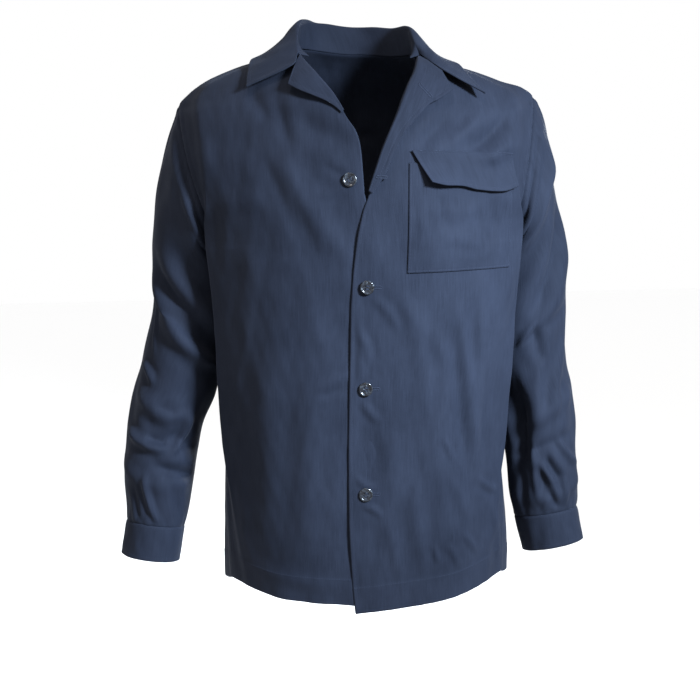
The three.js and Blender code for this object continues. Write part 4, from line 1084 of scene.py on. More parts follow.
# %% [markdown]
# The cuffs are plain bands of two layers, a little stiffer than the sleeve, so they keep
# their round form and the sleeve ripples slightly where it is sewn on.

# %% The cuffs
CUFF_GRID = (34, 132)
CUFF_CREASES = [
    [60, -664, 84, -690, 2, 0.8, 7],
    [110, -668, 130, -694, -2, -0.7, 8],
    [10, -680, 36, -672, 2, 0.7, 8],
]


def cuff(side):
    rows, sides = CUFF_GRID
    degrees = np.arange(sides) * 360 / sides
    last = len(SLEEVES[side]["z"]) - 1
    lines = sleeve_lines(side, degrees, last - 1, last)
    places = eased(rows, 0.6, 0.6)
    start = SEAM_HALF_GAP / lines.length[:, None]
    points = lines.point(start + (1 - start) * places[None, :]).transpose(1, 0, 2)
    z = points[..., 2]
    turn = np.broadcast_to(degrees[None, :], z.shape)
    middle = points.mean(axis=1, keepdims=True)
    cloth = Cloth("cuff_" + SIDE[side], points, points - middle, ring=True)
    relief = creases(CUFF_CREASES, turn, z, 360) + uneven(turn * 0.7, z, 91 + side, 45, 0.25)
    relief = relief * smoothstep(0, 8, cloth.from_top)
    cloth.middle = settled(points)
    cloth.press(relief + seam_dip(cloth.from_top, 1.4, 0.4))
    cloth.thicken(0.9 * smoothstep(0, 2, cloth.from_top))
    cloth.sewn_edge(cloth.from_top, SEWN_AT["cuff_top"], 0.35, 0.35)
    cloth.sewn_edge(cloth.from_low, SEWN_AT["cuff"], 0.5, 0.4)
    return cloth


for side in (1, -1):
    cloth = cuff(side)
    cloths[cloth.name] = cloth
    print("cuff", SIDE[side], "round, mm:", round(float(cloth.across[-1, -1])))

# %% [markdown]
# The lapels. This shirt has no separate facing to be seen: the upper front simply turns back
# at its roll line and lies on the chest, so a lapel starts under the roll, goes round it and
# stands off the front a little at its outer edge.

# %% The lapels
LAPEL = "rollX rollZ edgeX edgeZ stand"
LAPELS = {
    -1: Table(
        LAPEL,
        [
            [-71, -16, -77, -33, 9],
            [-60, -29, -85, -57, 11],
            [-51, -39, -69, -65, 10],
            [-42, -48, -54, -70, 8.5],
            [-33, -59, -39, -74, 6.5],
            [-25, -70, -28.5, -79, 4.5],
            [-18, -82, -19.5, -86, 3.5],
        ],
    ),
    1: Table(
        LAPEL,
        [
            [82, -8, 110, -32, 9],
            [74, -29, 120, -58, 13],
            [69, -38, 103, -68, 11],
            [63, -50, 89, -74, 9],
            [56, -66, 76, -86, 7.5],
            [49, -84, 66, -97, 7],
            [41, -103, 56, -110, 6.5],
            [29, -130, 43, -136, 6],
            [17, -160, 29, -164, 5],
            [7, -186, 10, -189, 3.5],
        ],
    ),
}
TIP = 1
ROLL_STAND = 4.2
ROLL_UNDER = (-0.9, 1.6)
LAPEL_TO = 0.985
LAPEL_GRID = (110, 40)
LAPEL_STATIONS = (0.04, 0.2, 0.4, 0.6, 0.8, 1.0)
LAPEL_CREASES = {
    -1: [[-58, -36, -46, -62, 2, 0.8, 8]],
    1: [[66, -60, 58, -104, 3, 0.9, 8], [92, -36, 88, -62, -2, 0.8, 9]],
}


def roll_line(side):
    rows = LAPELS[side]
    return Curves([np.stack([rows["rollX"], 0 * rows["rollX"], rows["rollZ"]], 1)])


def lapel_points(side, down, across):
    """Points of a lapel: down its roll line from 0 to 1 and across to its outer edge."""
    down, across = np.broadcast_arrays(np.asarray(down, float), np.asarray(across, float))
    shape = down.shape
    down, across = down.ravel(), across.ravel()
    rows = LAPELS[side]
    roll = roll_line(side)
    edges = np.stack([rows["edgeX"], rows["stand"], rows["edgeZ"]], 1)
    above, below = Curves([edges[: TIP + 1]]), Curves([edges[TIP:]])
    tip_at = roll.at[0, TIP]
    start = roll.point(down[None])[0]
    upper = above.point(np.clip(down / tip_at, 0, 1)[None])[0]
    lower = below.point(np.clip((down - tip_at) / (1 - tip_at), 0, 1)[None])[0]
    edge = np.where((down < tip_at)[:, None], upper, lower)
    x = start[:, 0] + (edge[:, 0] - start[:, 0]) * across
    z = start[:, 2] + (edge[:, 2] - start[:, 2]) * across
    stand = ROLL_STAND + (edge[:, 1] - ROLL_STAND) * np.sqrt(across)
    if side < 0:
        stand = stand - lapped(x)
    return (on_front(x, z) + out_of_front(x, z) * stand[:, None]).reshape(shape + (3,))


def lapel(side):
    rows, columns = LAPEL_GRID
    tip_at = roll_line(side).at[0, TIP]
    above = int(rows * tip_at) + 6
    down_to_tip = tip_at * eased(above, 0.5, 0.6)
    past_tip = tip_at + (LAPEL_TO - tip_at) * eased(rows - above + 1, 0.6, 0.0)[1:]
    down = np.concatenate([down_to_tip, past_tip])
    roll = lapel_points(side, down, 0.0)
    out = out_of_front(roll[:, 0], roll[:, 2])
    known = np.linalg.norm(out, axis=1) > 0.5
    out[~known] = out[np.argmax(known)]
    under = [roll + out * (off - ROLL_STAND) for off in ROLL_UNDER]
    over = [lapel_points(side, down, across) for across in LAPEL_STATIONS]
    profile = Curves(np.stack(under + over, 1))
    points = profile.point(np.tile(eased(columns, 0.3, 0.6), (rows, 1)))
    cloth = Cloth("lapel_" + SIDE[side], points, np.array([0, -1, 0]))
    x, z = points[..., 0], points[..., 2]
    relief = uneven(x, z, 111 + side, 38, 0.3) + creases(LAPEL_CREASES[side], x, z)
    relief = relief * smoothstep(0, 8, cloth.from_left) * smoothstep(0, 6, cloth.from_right)
    cloth.middle = settled(points)
    cloth.press(relief)
    cloth.thicken(0.45)
    cloth.sewn_edge(cloth.from_right, SEWN_AT["lapel"], 0.5, 0.35, smoothstep(2, 12, cloth.from_low))
    cloth.sewn_edge(cloth.from_top, 1.6, 0.2, 0.2)
    return cloth


for side in (1, -1):
    cloth = lapel(side)
    cloths[cloth.name] = cloth
    print("lapel", SIDE[side], "roll line, mm:", round(float(cloth.down[-1, 3])))

# %% [markdown]
# The collar is one piece that stands up from the neck seam and turns over at its crest. Its
# table has nine places round the neck, and at each a smooth profile from seam over crest to
# edge. Its ends meet the lapels along a slanting seam, which leaves the notch open.

# %% The collar
COLLAR = np.array(
    [
        [[-62, -48, -14], [-73, -50, -9], [-78, -68, -32], [-144, -70, -53]],
        [[-76, -19, -1.6], [-77, -24, 15], [-110, -34, -9], [-143, -41, -32]],
        [[-78, 12, 1.4], [-73, 12, 38], [-104, 8, 6], [-137, 4, -12.5]],
        [[-50, 52, 1.2], [-50, 56, 39], [-74, 80, 8], [-88, 97, -30]],
        [[0, 68, 1.2], [0, 74, 39], [0, 98, 4], [0, 112, -36]],
        [[50, 52, 1.2], [50, 56, 39], [74, 80, 8], [88, 97, -30]],
        [[78, 12, 1.4], [73, 12, 38], [103, 8, 5], [135, 4, -12.5]],
        [[76, -17, -1.4], [80, -18, 16], [115, -30, -10], [151, -40, -34]],
        [[73, -28, -6], [86, -40, -2], [111, -66, -31], [168, -68, -56]],
    ],
    float,
)
GORGE_GAP = 1.8
GORGE_LIFT = (4.4, 1.6)
CREST_AT = 0.33
TURN = dict(most=6, least=0.4, start=8, share=0.25, back=0.25, over=1.3, down=0.8)
COLLAR_GRID = (58, 196)


def collar():
    rows = COLLAR.copy()
    for index, side in ((0, -1), (-1, 1)):
        start, middle, end = lapel_points(side, 0.0, np.array([0, 0.5, 1]))
        out = out_of_front(middle[0], middle[2])
        away = unit(np.cross(end - start, out)) * -side * GORGE_GAP
        rows[index, 1] = start + away + out * GORGE_LIFT[0]
        rows[index, 2] = end + away + out * GORGE_LIFT[1]
    lines = Curves(rows.swapaxes(0, 1))
    steps = len(rows) - 1
    s = eased(COLLAR_GRID[1], 0.5, 0.5) * steps
    i = np.minimum(s.astype(int), steps - 1)
    places = lines.at[:, i] + (lines.at[:, i + 1] - lines.at[:, i]) * (s - i)
    seam, crest, fall, edge = lines.point(places)
    out = unit((fall - crest) * np.array([1, 1, 0]))
    height = np.linalg.norm(crest - seam, axis=1)
    turn = np.clip((height - TURN["start"]) * TURN["share"], TURN["least"], TURN["most"])
    before = crest - out * (turn * TURN["back"])[:, None]
    before[:, 2] = crest[:, 2] - turn
    after = crest + out * (turn * TURN["over"])[:, None]
    after[:, 2] = crest[:, 2] - turn * TURN["down"]
    profile = Curves(np.stack([seam, before, crest, after, fall, edge], 1))
    w = eased(COLLAR_GRID[0], 0.3, 0.6)[None, :]
    top = profile.at[:, 2:3]
    t = np.where(w < CREST_AT, top * w / CREST_AT, top + (1 - top) * (w - CREST_AT) / (1 - CREST_AT))
    points = profile.point(t).transpose(1, 0, 2)
    outward = (points - np.array([0, 10, -60])) * (w.T[..., None] > 0.5)
    cloth = Cloth("collar", points, outward)
    relief = uneven(points[..., 0], points[..., 1] + points[..., 2], 131, 45, 0.3)
    relief = relief * smoothstep(0, 10, cloth.from_top) * smoothstep(0, 8, cloth.from_left)
    relief = relief * smoothstep(0, 8, cloth.from_right)
    cloth.middle = settled(points)
    cloth.press(relief)
    cloth.thicken(0.6)
    shown = smoothstep(0.5, 0.6, w.T)
    cloth.sewn_edge(cloth.from_low, SEWN_AT["collar"], 0.5, 0.35)
    cloth.sewn_edge(cloth.from_left, SEWN_AT["collar"], 0.5, 0.35, shown)
    cloth.sewn_edge(cloth.from_right, SEWN_AT["collar"], 0.5, 0.35, shown)
    return cloth


cloths["collar"] = collar()
print("collar, outer edge, mm:", round(float(cloths["collar"].across[-1, -1])))

# %% [markdown]
# The pocket and its flap lie on the left front. Each of their points is a point of the front
# moved out, with the front's own creases, so they follow the chest exactly. The flap's
# corner nearer the front edge has curled away, as flaps do when they are not pressed.

# %% The pocket and its flap
POCKET = dict(top=-150, low=-289, left=(62, 52), right=(199, 189))
FLAP_TOP = dict(x=(66, 199), z=(-134, -141))
# The flap's lower edge, as x, how far it stands off the chest, and z
FLAP_EDGE = [[86, 15, -176], [103, 13, -180], [127, 9, -181], [146, 8, -186], [181, 9, -189], [202, 9, -183]]
POCKET_CREASES = [[96, -206, 150, -214, 3, 0.9, 9], [80, -250, 160, -262, -4, 0.7, 10]]
POCKET_OFF = 1.9
POCKET_SHELL = 0.8
POCKET_GRID, FLAP_GRID = (86, 92), (44, 110)


def on_left_front(x, z, off):
    base = on_front(x, z)
    base[..., 1] -= fold_push("front_left", x, z)
    off = off + front_relief(1, x, z)
    return settled(base + out_of_front(x, z) * off[..., None])


def pocket():
    v = eased(POCKET_GRID[0], 0.0, 0.6)[:, None]
    u = eased(POCKET_GRID[1], 0.6, 0.6)[None, :]
    left = POCKET["left"][0] + (POCKET["left"][1] - POCKET["left"][0]) * v
    right = POCKET["right"][0] + (POCKET["right"][1] - POCKET["right"][0]) * v
    x = left + (right - left) * u
    z = np.broadcast_to(POCKET["top"] + (POCKET["low"] - POCKET["top"]) * v, x.shape)
    cloth = Cloth("pocket", on_left_front(x, z, np.full(x.shape, POCKET_OFF)), np.array([0, -1, 0]))
    inner = np.minimum(np.minimum(cloth.from_left, cloth.from_right), cloth.from_low)
    relief = (0.7 + uneven(x, z, 151, 34, 0.3)) * smoothstep(2, 26, inner)
    relief += creases(POCKET_CREASES, x, z)
    cloth.press(relief - 0.75 * (1 - smoothstep(0, 1.6, inner)) * 0.6)
    cloth.thicken(POCKET_SHELL - SHELL)
    cloth.sewn_edge(inner, SEWN_AT["pocket"], 0.45, 0.35)
    return cloth


def flap():
    v = eased(FLAP_GRID[0], 0.5, 0.6)[:, None]
    u = eased(FLAP_GRID[1], 0.6, 0.6)[None, :]
    edge = Curves([FLAP_EDGE]).point(u)[0][None]
    top_x = FLAP_TOP["x"][0] + (FLAP_TOP["x"][1] - FLAP_TOP["x"][0]) * u
    top_z = FLAP_TOP["z"][0] + (FLAP_TOP["z"][1] - FLAP_TOP["z"][0]) * u
    x = top_x + (edge[..., 0] - top_x) * v
    z = top_z + (edge[..., 2] - top_z) * v
    off = 2 * POCKET_OFF + (edge[..., 1] - 2 * POCKET_OFF) * v**2
    cloth = Cloth("pocket_flap", on_left_front(x, z, off), np.array([0, -1, 0]))
    inner = np.minimum(np.minimum(cloth.from_left, cloth.from_right), cloth.from_low)
    relief = uneven(x, z, 171, 40, 0.25) * smoothstep(0, 14, inner)
    cloth.press(relief)
    cloth.thicken(0.5)
    cloth.sewn_edge(inner, SEWN_AT["flap"], 0.5, 0.35)
    cloth.sewn_edge(cloth.from_top, SEWN_AT["flap_top"], 0.4, 0.35)
    return cloth


cloths["pocket"] = pocket()
cloths["pocket_flap"] = flap()
print("pocket mouth, mm:", round(float(cloths["pocket"].across[0, -1])))
print("flap, lower edge, mm:", round(float(cloths["pocket_flap"].across[-1, -1])))

# %% [markdown]
# Shader maths as plain Python. A material is a net of nodes, which is hard to read when each
# link is written out. Here one small class wraps a socket, so `warm + 0.2 * grain` adds the
# Math nodes itself. Colours go through Mix nodes, as a Math node would turn them grey.

# %% Sockets that Python's operators work on


class Socket:
    """The output of a node, with the operators that the finishes use."""

    def __init__(self, finish, output):
        self.finish = finish
        self.output = output

    def math(self, operation, *terms):
        return self.finish.node("ShaderNodeMath", {"operation": operation}, dict(enumerate(terms)))

    def __add__(self, other):
        return self.math("ADD", self, other)

    def __sub__(self, other):
        return self.math("SUBTRACT", self, other)

    def __rsub__(self, other):
        return self.math("SUBTRACT", other, self)

    def __mul__(self, other):
        return self.math("MULTIPLY", self, other)

    def sine(self):
        return self.math("SINE", self)

    __radd__ = __add__
    __rmul__ = __mul__


class Finish:
    """A material under construction."""

    def __init__(self, name):
        self.material = bpy.data.materials.new(name)
        self.material.use_nodes = True
        self.tree = self.material.node_tree
        self.tree.nodes.clear()

    def node(self, kind, settings=None, sockets=None, output=0):
        made_node = self.tree.nodes.new(kind)
        for key, value in (settings or {}).items():
            if key == "stops":
                ramp = made_node.color_ramp.elements
                while len(ramp) < len(value):
                    ramp.new(0.5)
                for element, (place, colour) in zip(ramp, value):
                    element.position, element.color = place, colour
            else:
                setattr(made_node, key, value)
        for key, value in (sockets or {}).items():
            if isinstance(value, Socket):
                self.tree.links.new(value.output, made_node.inputs[key])
            else:
                made_node.inputs[key].default_value = value
        return Socket(self, made_node.outputs[output])

    def mix(self, share, first, second):
        """A colour between two others."""
        return self.node("ShaderNodeMix", {"data_type": "RGBA"}, {0: share, 6: first, 7: second}, 2)

    def stretched(self, place, across, down):
        """A place on the cloth, scaled by its own number each way."""
        sockets = {0: place, 1: (across, down, 1.0)}
        return self.node("ShaderNodeVectorMath", {"operation": "MULTIPLY"}, sockets)

    def noise(self, place, across, down, detail=2.0, rough=0.5):
        spot = self.stretched(place, across, down)
        sockets = {"Vector": spot, "Scale": 1.0, "Detail": detail, "Roughness": rough}
        return self.node("ShaderNodeTexNoise", {"noise_dimensions": "2D"}, sockets)

    def raised(self, height, strength, distance):
        sockets = {"Height": height, "Strength": strength, "Distance": distance}
        return self.node("ShaderNodeBump", None, sockets)

    def done(self, sockets):
        surface = self.node("ShaderNodeBsdfPrincipled", None, sockets)
        result = self.tree.nodes.new("ShaderNodeOutputMaterial")
        self.tree.links.new(surface.output, result.inputs["Surface"])
        print("finish:", self.material.name, "with", len(self.tree.nodes), "nodes")
        return self.material


# %% [markdown]
# The cloth is a plain weave of slubby yarn. Its threads are thicker in places, which shows as
# short pale streaks, mostly down the cloth. The weave itself is far too fine for faces, so it
# is a bump, and the colour varies a little with the yarn, as dyed plant fibre does.

# %% The navy cloth
NAVY_DARK = (0.0026, 0.0036, 0.0070, 1.0)
NAVY_PALE = (0.0082, 0.0104, 0.0176, 1.0)
# The distance from thread to thread across and down the cloth, in metres
THREADS_APART = (0.0011, 0.0012)


def navy_cloth():
    finish = Finish("navy_cloth")
    place = finish.node("ShaderNodeUVMap", {"uv_map": "cut"})
    slubs = finish.noise(place, 520.0, 24.0, 3.0, 0.6)
    streaks = finish.noise(place, 1500.0, 70.0, 2.0)
    crossing = finish.noise(place, 90.0, 1700.0, 2.0)
    cloudy = finish.noise(place, 14.0, 9.0, 3.0, 0.6)
    fine = finish.noise(place, 2600.0, 2600.0, 1.0)
    yarn = streaks * 0.5 + crossing * 0.28 + fine * 0.22
    turns = finish.stretched(place, *(2 * math.pi / apart for apart in THREADS_APART))
    warp = finish.node("ShaderNodeSeparateXYZ", None, {0: turns})
    weft = Socket(finish, warp.output.node.outputs[1])
    weave = warp.sine() * weft.sine()
    share = yarn * 1.0 + slubs * 0.55 + cloudy * 0.8 - 0.68
    colour = finish.mix(share, NAVY_DARK, NAVY_PALE)
    height = yarn * 1.0 + slubs * 0.5 + weave * 0.10
    normal = finish.raised(height, 0.55, 0.00035)
    return finish.done(
        {
            "Base Color": colour,
            "Roughness": 0.7 + 0.22 * yarn,
            "Specular IOR Level": 0.05,
            "Sheen Weight": 0.02,
            "Sheen Roughness": 0.45,
            "Sheen Tint": (0.55, 0.65, 0.95, 1.0),
            "Normal": normal,
        }
    )


cloth_finish = navy_cloth()

# %% [markdown]
# The thread is a shade lighter than the cloth and smoother, so the rows of stitches catch
# the light. The buttons are dark horn: smoky, with paler veins and a polished face.

# %% Thread and horn
THREAD_DARK = (0.0038, 0.0054, 0.0105, 1.0)
THREAD_PALE = (0.0105, 0.0140, 0.0250, 1.0)
HORN_STOPS = [
    (0.40, (0.004, 0.004, 0.005, 1)),
    (0.60, (0.012, 0.014, 0.018, 1)),
    (0.74, (0.07, 0.08, 0.09, 1)),
]


def thread():
    finish = Finish("navy_thread")
    place = finish.node("ShaderNodeTexCoord", None, None, "Object")
    twist = finish.node("ShaderNodeTexNoise", None, {"Vector": place, "Scale": 900.0, "Detail": 1.0})
    colour = finish.mix(twist, THREAD_DARK, THREAD_PALE)
    return finish.done({"Base Color": colour, "Roughness": 0.6 + 0.2 * twist, "Specular IOR Level": 0.1})


def horn():
    finish = Finish("dark_horn")
    place = finish.node("ShaderNodeTexCoord", None, None, "Object")
    clouds = {"Vector": place, "Scale": 170.0, "Detail": 4.0, "Distortion": 1.6}
    veins = finish.node("ShaderNodeTexNoise", None, clouds)
    colour = finish.node("ShaderNodeValToRGB", {"stops": HORN_STOPS}, {0: veins})
    return finish.done({"Base Color": colour, "Roughness": 0.12 + 0.12 * veins, "Specular IOR Level": 0.2})


thread_finish = thread()
horn_finish = horn()

# %% [markdown]
# Now every grid becomes a piece. Each stands for its own solid and hangs on the one body. The
# table lists the size that each was cut to while it lay flat, with its own seams and hems taken in.

# %% From grids to pieces
CUTS = {
    "front_left": dict(flat=(0.34, 0.78), area=0.2),
    "front_right": dict(flat=(0.34, 0.78), area=0.2),
    "back": dict(flat=(0.56, 0.79), area=0.40),
    "sleeve_left": dict(flat=(0.44, 0.62), area=0.185),
    "sleeve_right": dict(flat=(0.44, 0.62), area=0.185),
    "cuff_left": dict(flat=(0.27, 0.052)),
    "cuff_right": dict(flat=(0.27, 0.052)),
    "collar": dict(flat=(0.50, 0.10)),
    "lapel_left": dict(flat=(0.06, 0.19), area=0.006),
    "lapel_right": dict(flat=(0.05, 0.10), area=0.003),
    "pocket": dict(flat=(0.15, 0.142)),
    "pocket_flap": dict(flat=(0.148, 0.052), area=0.0068),
}
for name, cloth in cloths.items():
    obj = cloth.build(cloth_finish)
    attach(obj, "root")
    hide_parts(name)

# %% [markdown]
# Stitches are real threads here, not a painted line. Each is a small spindle that dips into
# the cloth at both ends. A row of them runs at an even distance inside an edge, found on the
# cloth's own grid, so it follows every crease.

# %% Threads
STITCH = dict(pitch=3.3, length=2.5, radius=0.27, sink=0.16, dip=1.6, sides=6, look=0.8)
STATIONS = np.array([-1.0, -0.72, -0.25, 0.25, 0.72, 1.0])
SWELL = np.array([0.25, 0.8, 1.0, 1.0, 0.8, 0.25])


def threads(name, spots, ways, outs, length, radius, lift=0.0):
    """One mesh of short threads: their middles, directions, and the way out at each."""
    ways = unit(ways)
    outs = unit(outs - ways * (outs * ways).sum(1, keepdims=True))
    beside = np.cross(ways, outs)
    sides = STITCH["sides"]
    rings = len(STATIONS)
    angles = np.arange(sides) * 2 * math.pi / sides
    height = lift - STITCH["sink"] * STATIONS**2 * STITCH["dip"]
    points = []
    for s, w, o, b in zip(spots, ways, outs, beside):
        middles = s + w * (STATIONS * length / 2)[:, None] + o * height[:, None]
        ring = np.cos(angles)[None, :, None] * b + np.sin(angles)[None, :, None] * o
        points.append((middles[:, None] + ring * (SWELL * radius)[:, None, None]).reshape(-1, 3))
    around = np.arange(sides)
    band = [
        [k * sides + i, k * sides + (i + 1) % sides, (k + 1) * sides + (i + 1) % sides, (k + 1) * sides + i]
        for k in range(rings - 1)
        for i in around
    ]
    faces = []
    for first in range(0, len(points) * rings * sides, rings * sides):
        faces += [[first + v for v in quad] for quad in band]
        faces.append([first + int(i) for i in around[::-1]])
        faces.append([first + (rings - 1) * sides + int(i) for i in around])
    mesh = bpy.data.meshes.new(name)
    mesh.from_pydata((np.concatenate(points) * MM).tolist(), [], faces)
    mesh.shade_smooth()
    obj = bpy.data.objects.new(name, mesh)
    bpy.context.scene.collection.objects.link(obj)
    mesh.materials.append(thread_finish)
    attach(obj, "root")
    return obj


def sewn(cloth, places):
    """Evenly spaced stitches along a line of places on a cloth."""
    spots, outs = cloth.at(places)
    run = np.concatenate([[0], np.cumsum(np.linalg.norm(np.diff(spots, axis=0), axis=1))])
    marks = np.arange(STITCH["pitch"] / 2, run[-1], STITCH["pitch"])
    at = np.stack([np.interp(marks, run, spots[:, k]) for k in range(3)], 1)
    out = unit(np.stack([np.interp(marks, run, outs[:, k]) for k in range(3)], 1))
    ahead = np.stack([np.interp(marks + STITCH["look"], run, spots[:, k]) for k in range(3)], 1)
    behind = np.stack([np.interp(marks - STITCH["look"], run, spots[:, k]) for k in range(3)], 1)
    return at, ahead - behind, out


def stitching(name, rows):
    """All the rows of stitches on one piece."""
    parts = [sewn(cloths[name], cloths[name].on_edge(*row)) for row in rows]
    spots, ways, outs = (np.concatenate(group) for group in zip(*parts))
    obj = threads(name + "_stitches", spots, ways, outs, STITCH["length"], STITCH["radius"])
    print(obj.name, len(spots), "stitches")
    return obj


def below(name, z):
    """How far down its edge a front is at a height, as a share of its rows."""
    heights = cloths[name].middle[:, 0, 2]
    return float((heights > z).sum()) / cloths[name].rows


EDGE_SEWN_FROM = -206
SHOULDER_SEAM = ("right", SEWN_AT["shoulder"], 0, 0.09)
CUFF_ROWS = [("top", SEWN_AT["cuff_top"]), ("low", SEWN_AT["cuff"])]
COLLAR_END = (SEWN_AT["collar"], 0.55, 0.97)
# Each row of stitches, as its edge, its distance from it, and the share of the edge where it starts and ends
ROWS_OF_STITCHES = {
    "front_left": [
        ("low", HEM_DEPTH),
        ("left", SEWN_AT["front"], below("front_left", EDGE_SEWN_FROM)),
        SHOULDER_SEAM,
    ],
    "front_right": [("low", HEM_DEPTH), SHOULDER_SEAM],
    "back": [("low", HEM_DEPTH)],
    "cuff_left": CUFF_ROWS,
    "cuff_right": CUFF_ROWS,
    "collar": [("low", SEWN_AT["collar"], 0.01, 0.99), ("left", *COLLAR_END), ("right", *COLLAR_END)],
    "lapel_left": [("right", SEWN_AT["lapel"], 0.02, 0.97)],
    "lapel_right": [("right", SEWN_AT["lapel"], 0.02, 0.95)],
    "pocket": [(edge, SEWN_AT["pocket"]) for edge in ("left", "right", "low")],
    "pocket_flap": [
        ("left", SEWN_AT["flap"]),
        ("right", SEWN_AT["flap"]),
        ("low", SEWN_AT["flap"], 0.03, 0.97),
        ("top", SEWN_AT["flap_top"]),
    ],
}
stitches = {name: stitching(name, rows) for name, rows in ROWS_OF_STITCHES.items()}

# %% [markdown]
# Buttonholes are slits whose edges are bound with close thread. They run across the front,
# and each button sits at the end nearer the front's edge, so that a short tail of its slit
# shows beyond it. The two in the lapel are not fastened.

# %% Buttonholes
HOLE = dict(wide=1.5, pitch=0.62, thread=0.32, reach=1.9, lift=0.22, round_end=7)


def buttonhole(name, cloth, start, end):
    """A bound slit between two points given as x and z."""
    start, end = np.array(start, float), np.array(end, float)
    along_it = (end - start) / np.linalg.norm(end - start)
    beside = np.array([-along_it[1], along_it[0]])
    length = np.linalg.norm(end - start)
    marks = np.arange(0, length, HOLE["pitch"])
    rows = [(start + along_it * m + beside * s * HOLE["wide"], beside * s) for s in (1, -1) for m in marks]
    turns = np.linspace(-math.pi / 2, math.pi / 2, HOLE["round_end"])
    for middle, way in ((end, 1), (start, -1)):
        for turn in turns:
            ray = along_it * way * math.cos(turn) + beside * math.sin(turn)
            rows.append((middle + ray * HOLE["wide"], ray))
    places = np.array([place for place, _ in rows])
    rays = np.array([ray for _, ray in rows])
    spots, outs = cloth.over(places[:, 0], places[:, 1])
    inward = -(rays[:, 0] * outs[:, 0] + rays[:, 1] * outs[:, 2]) / outs[:, 1]
    ways = np.stack([rays[:, 0], inward, rays[:, 1]], 1)
    return threads(name, spots, ways, outs, HOLE["reach"], HOLE["thread"], HOLE["lift"])


def settled_spot(x, z):
    p = settled(on_front(x, z))
    return p[0], p[2]


BUTTONS = {"button_chest": (0, -306), "button_waist": (0, -439), "button_low": (0.5, -581)}
HOLE_REACH = (-4.0, 17.0)
HOLE_FALL = 0.4
# The ends of the lapel's own buttonholes, as x and z
LAPEL_HOLES = {"buttonhole_top": ((23, -166), (35, -166.5)), "buttonhole_lapel": ((82, -50), (96, -66))}
for name, (x, z) in BUTTONS.items():
    px, pz = settled_spot(float(x), float(z))
    start, end = (px + HOLE_REACH[0], pz), (px + HOLE_REACH[1], pz - HOLE_FALL)
    buttonhole(name.replace("button", "buttonhole"), cloths["front_left"], start, end)
for name, (start, end) in LAPEL_HOLES.items():
    buttonhole(name, cloths["lapel_left"], start, end)
print("buttonholes:", len(BUTTONS) + len(LAPEL_HOLES))

# %% [markdown]
# A button is turned on a lathe: a round edge, a raised rim and a dished middle. The profile is
# spun round an axis, four holes are cut through, and the thread that holds it crosses them.

# %% Buttons
# The profile from the middle of the underside to the middle of the face, as radius and height
BUTTON_PROFILE = [
    (0.0, 0.0), (6.6, 0.0), (7.9, 0.25), (8.8, 0.75), (9.3, 1.45), (9.15, 2.2), (8.75, 2.75), (8.2, 3.0),
    (7.6, 2.96), (7.1, 2.7), (6.6, 2.3), (5.8, 2.08), (4.0, 2.0), (0.0, 2.0),
]
BUTTON_SIDES = 48
BUTTON_HOLES = dict(radius=0.95, flare=1.35, out=1.9, sides=16)
SHARP_ABOVE = math.radians(42)
BUTTON_THREAD = dict(strands=(-0.45, 0, 0.45), height=2.25, length=5.0, radius=0.3)


def spun(name, profile, sides):
    angles = np.arange(sides) * 2 * math.pi / sides
    ring = np.stack([np.cos(angles), np.sin(angles)], 1)
    points = [[0, 0, profile[0][1]]]
    for r, h in profile[1:-1]:
        points += [[r * x, r * y, h] for x, y in ring]
    points.append([0, 0, profile[-1][1]])
    faces = []
    last = len(points) - 1
    rings = len(profile) - 2
    for i in range(sides):
        k = (i + 1) % sides
        faces.append([0, 1 + k, 1 + i])
        for j in range(rings - 1):
            a, b = 1 + j * sides, 1 + (j + 1) * sides
            faces.append([a + i, a + k, b + k, b + i])
        top = 1 + (rings - 1) * sides
        faces.append([top + i, top + k, last])
    mesh = bpy.data.meshes.new(name)
    mesh.from_pydata(points, [], faces)
    obj = bpy.data.objects.new(name, mesh)
    bpy.context.scene.collection.objects.link(obj)
    return obj


def button_blank():
    """One finished button, face up, in millimetres."""
    blank = spun("button_blank", BUTTON_PROFILE, BUTTON_SIDES)
    drills = []
    for x, y in ((1, 1), (1, -1), (-1, 1), (-1, -1)):
        r = BUTTON_HOLES["radius"]
        wide = r * BUTTON_HOLES["flare"]
        bore = [(0, -2), (r, -2), (r, 1.6), (wide, 2.1), (wide, 5), (0, 5)]
        drill = spun("drill", bore, BUTTON_HOLES["sides"])
        drill.location = (x * BUTTON_HOLES["out"], y * BUTTON_HOLES["out"], 0)
        cut = blank.modifiers.new("hole", "BOOLEAN")
        cut.object, cut.operation, cut.solver = drill, "DIFFERENCE", "EXACT"
        drills.append(drill)
    bpy.context.view_layer.update()
    graph = bpy.context.evaluated_depsgraph_get()
    mesh = bpy.data.meshes.new_from_object(blank.evaluated_get(graph))
    for obj in drills + [blank]:
        bpy.data.objects.remove(obj)
    mesh.shade_smooth()
    mesh.set_sharp_from_angle(angle=SHARP_ABOVE)
    return mesh


blank = button_blank()
print("one button:", len(blank.polygons), "faces")


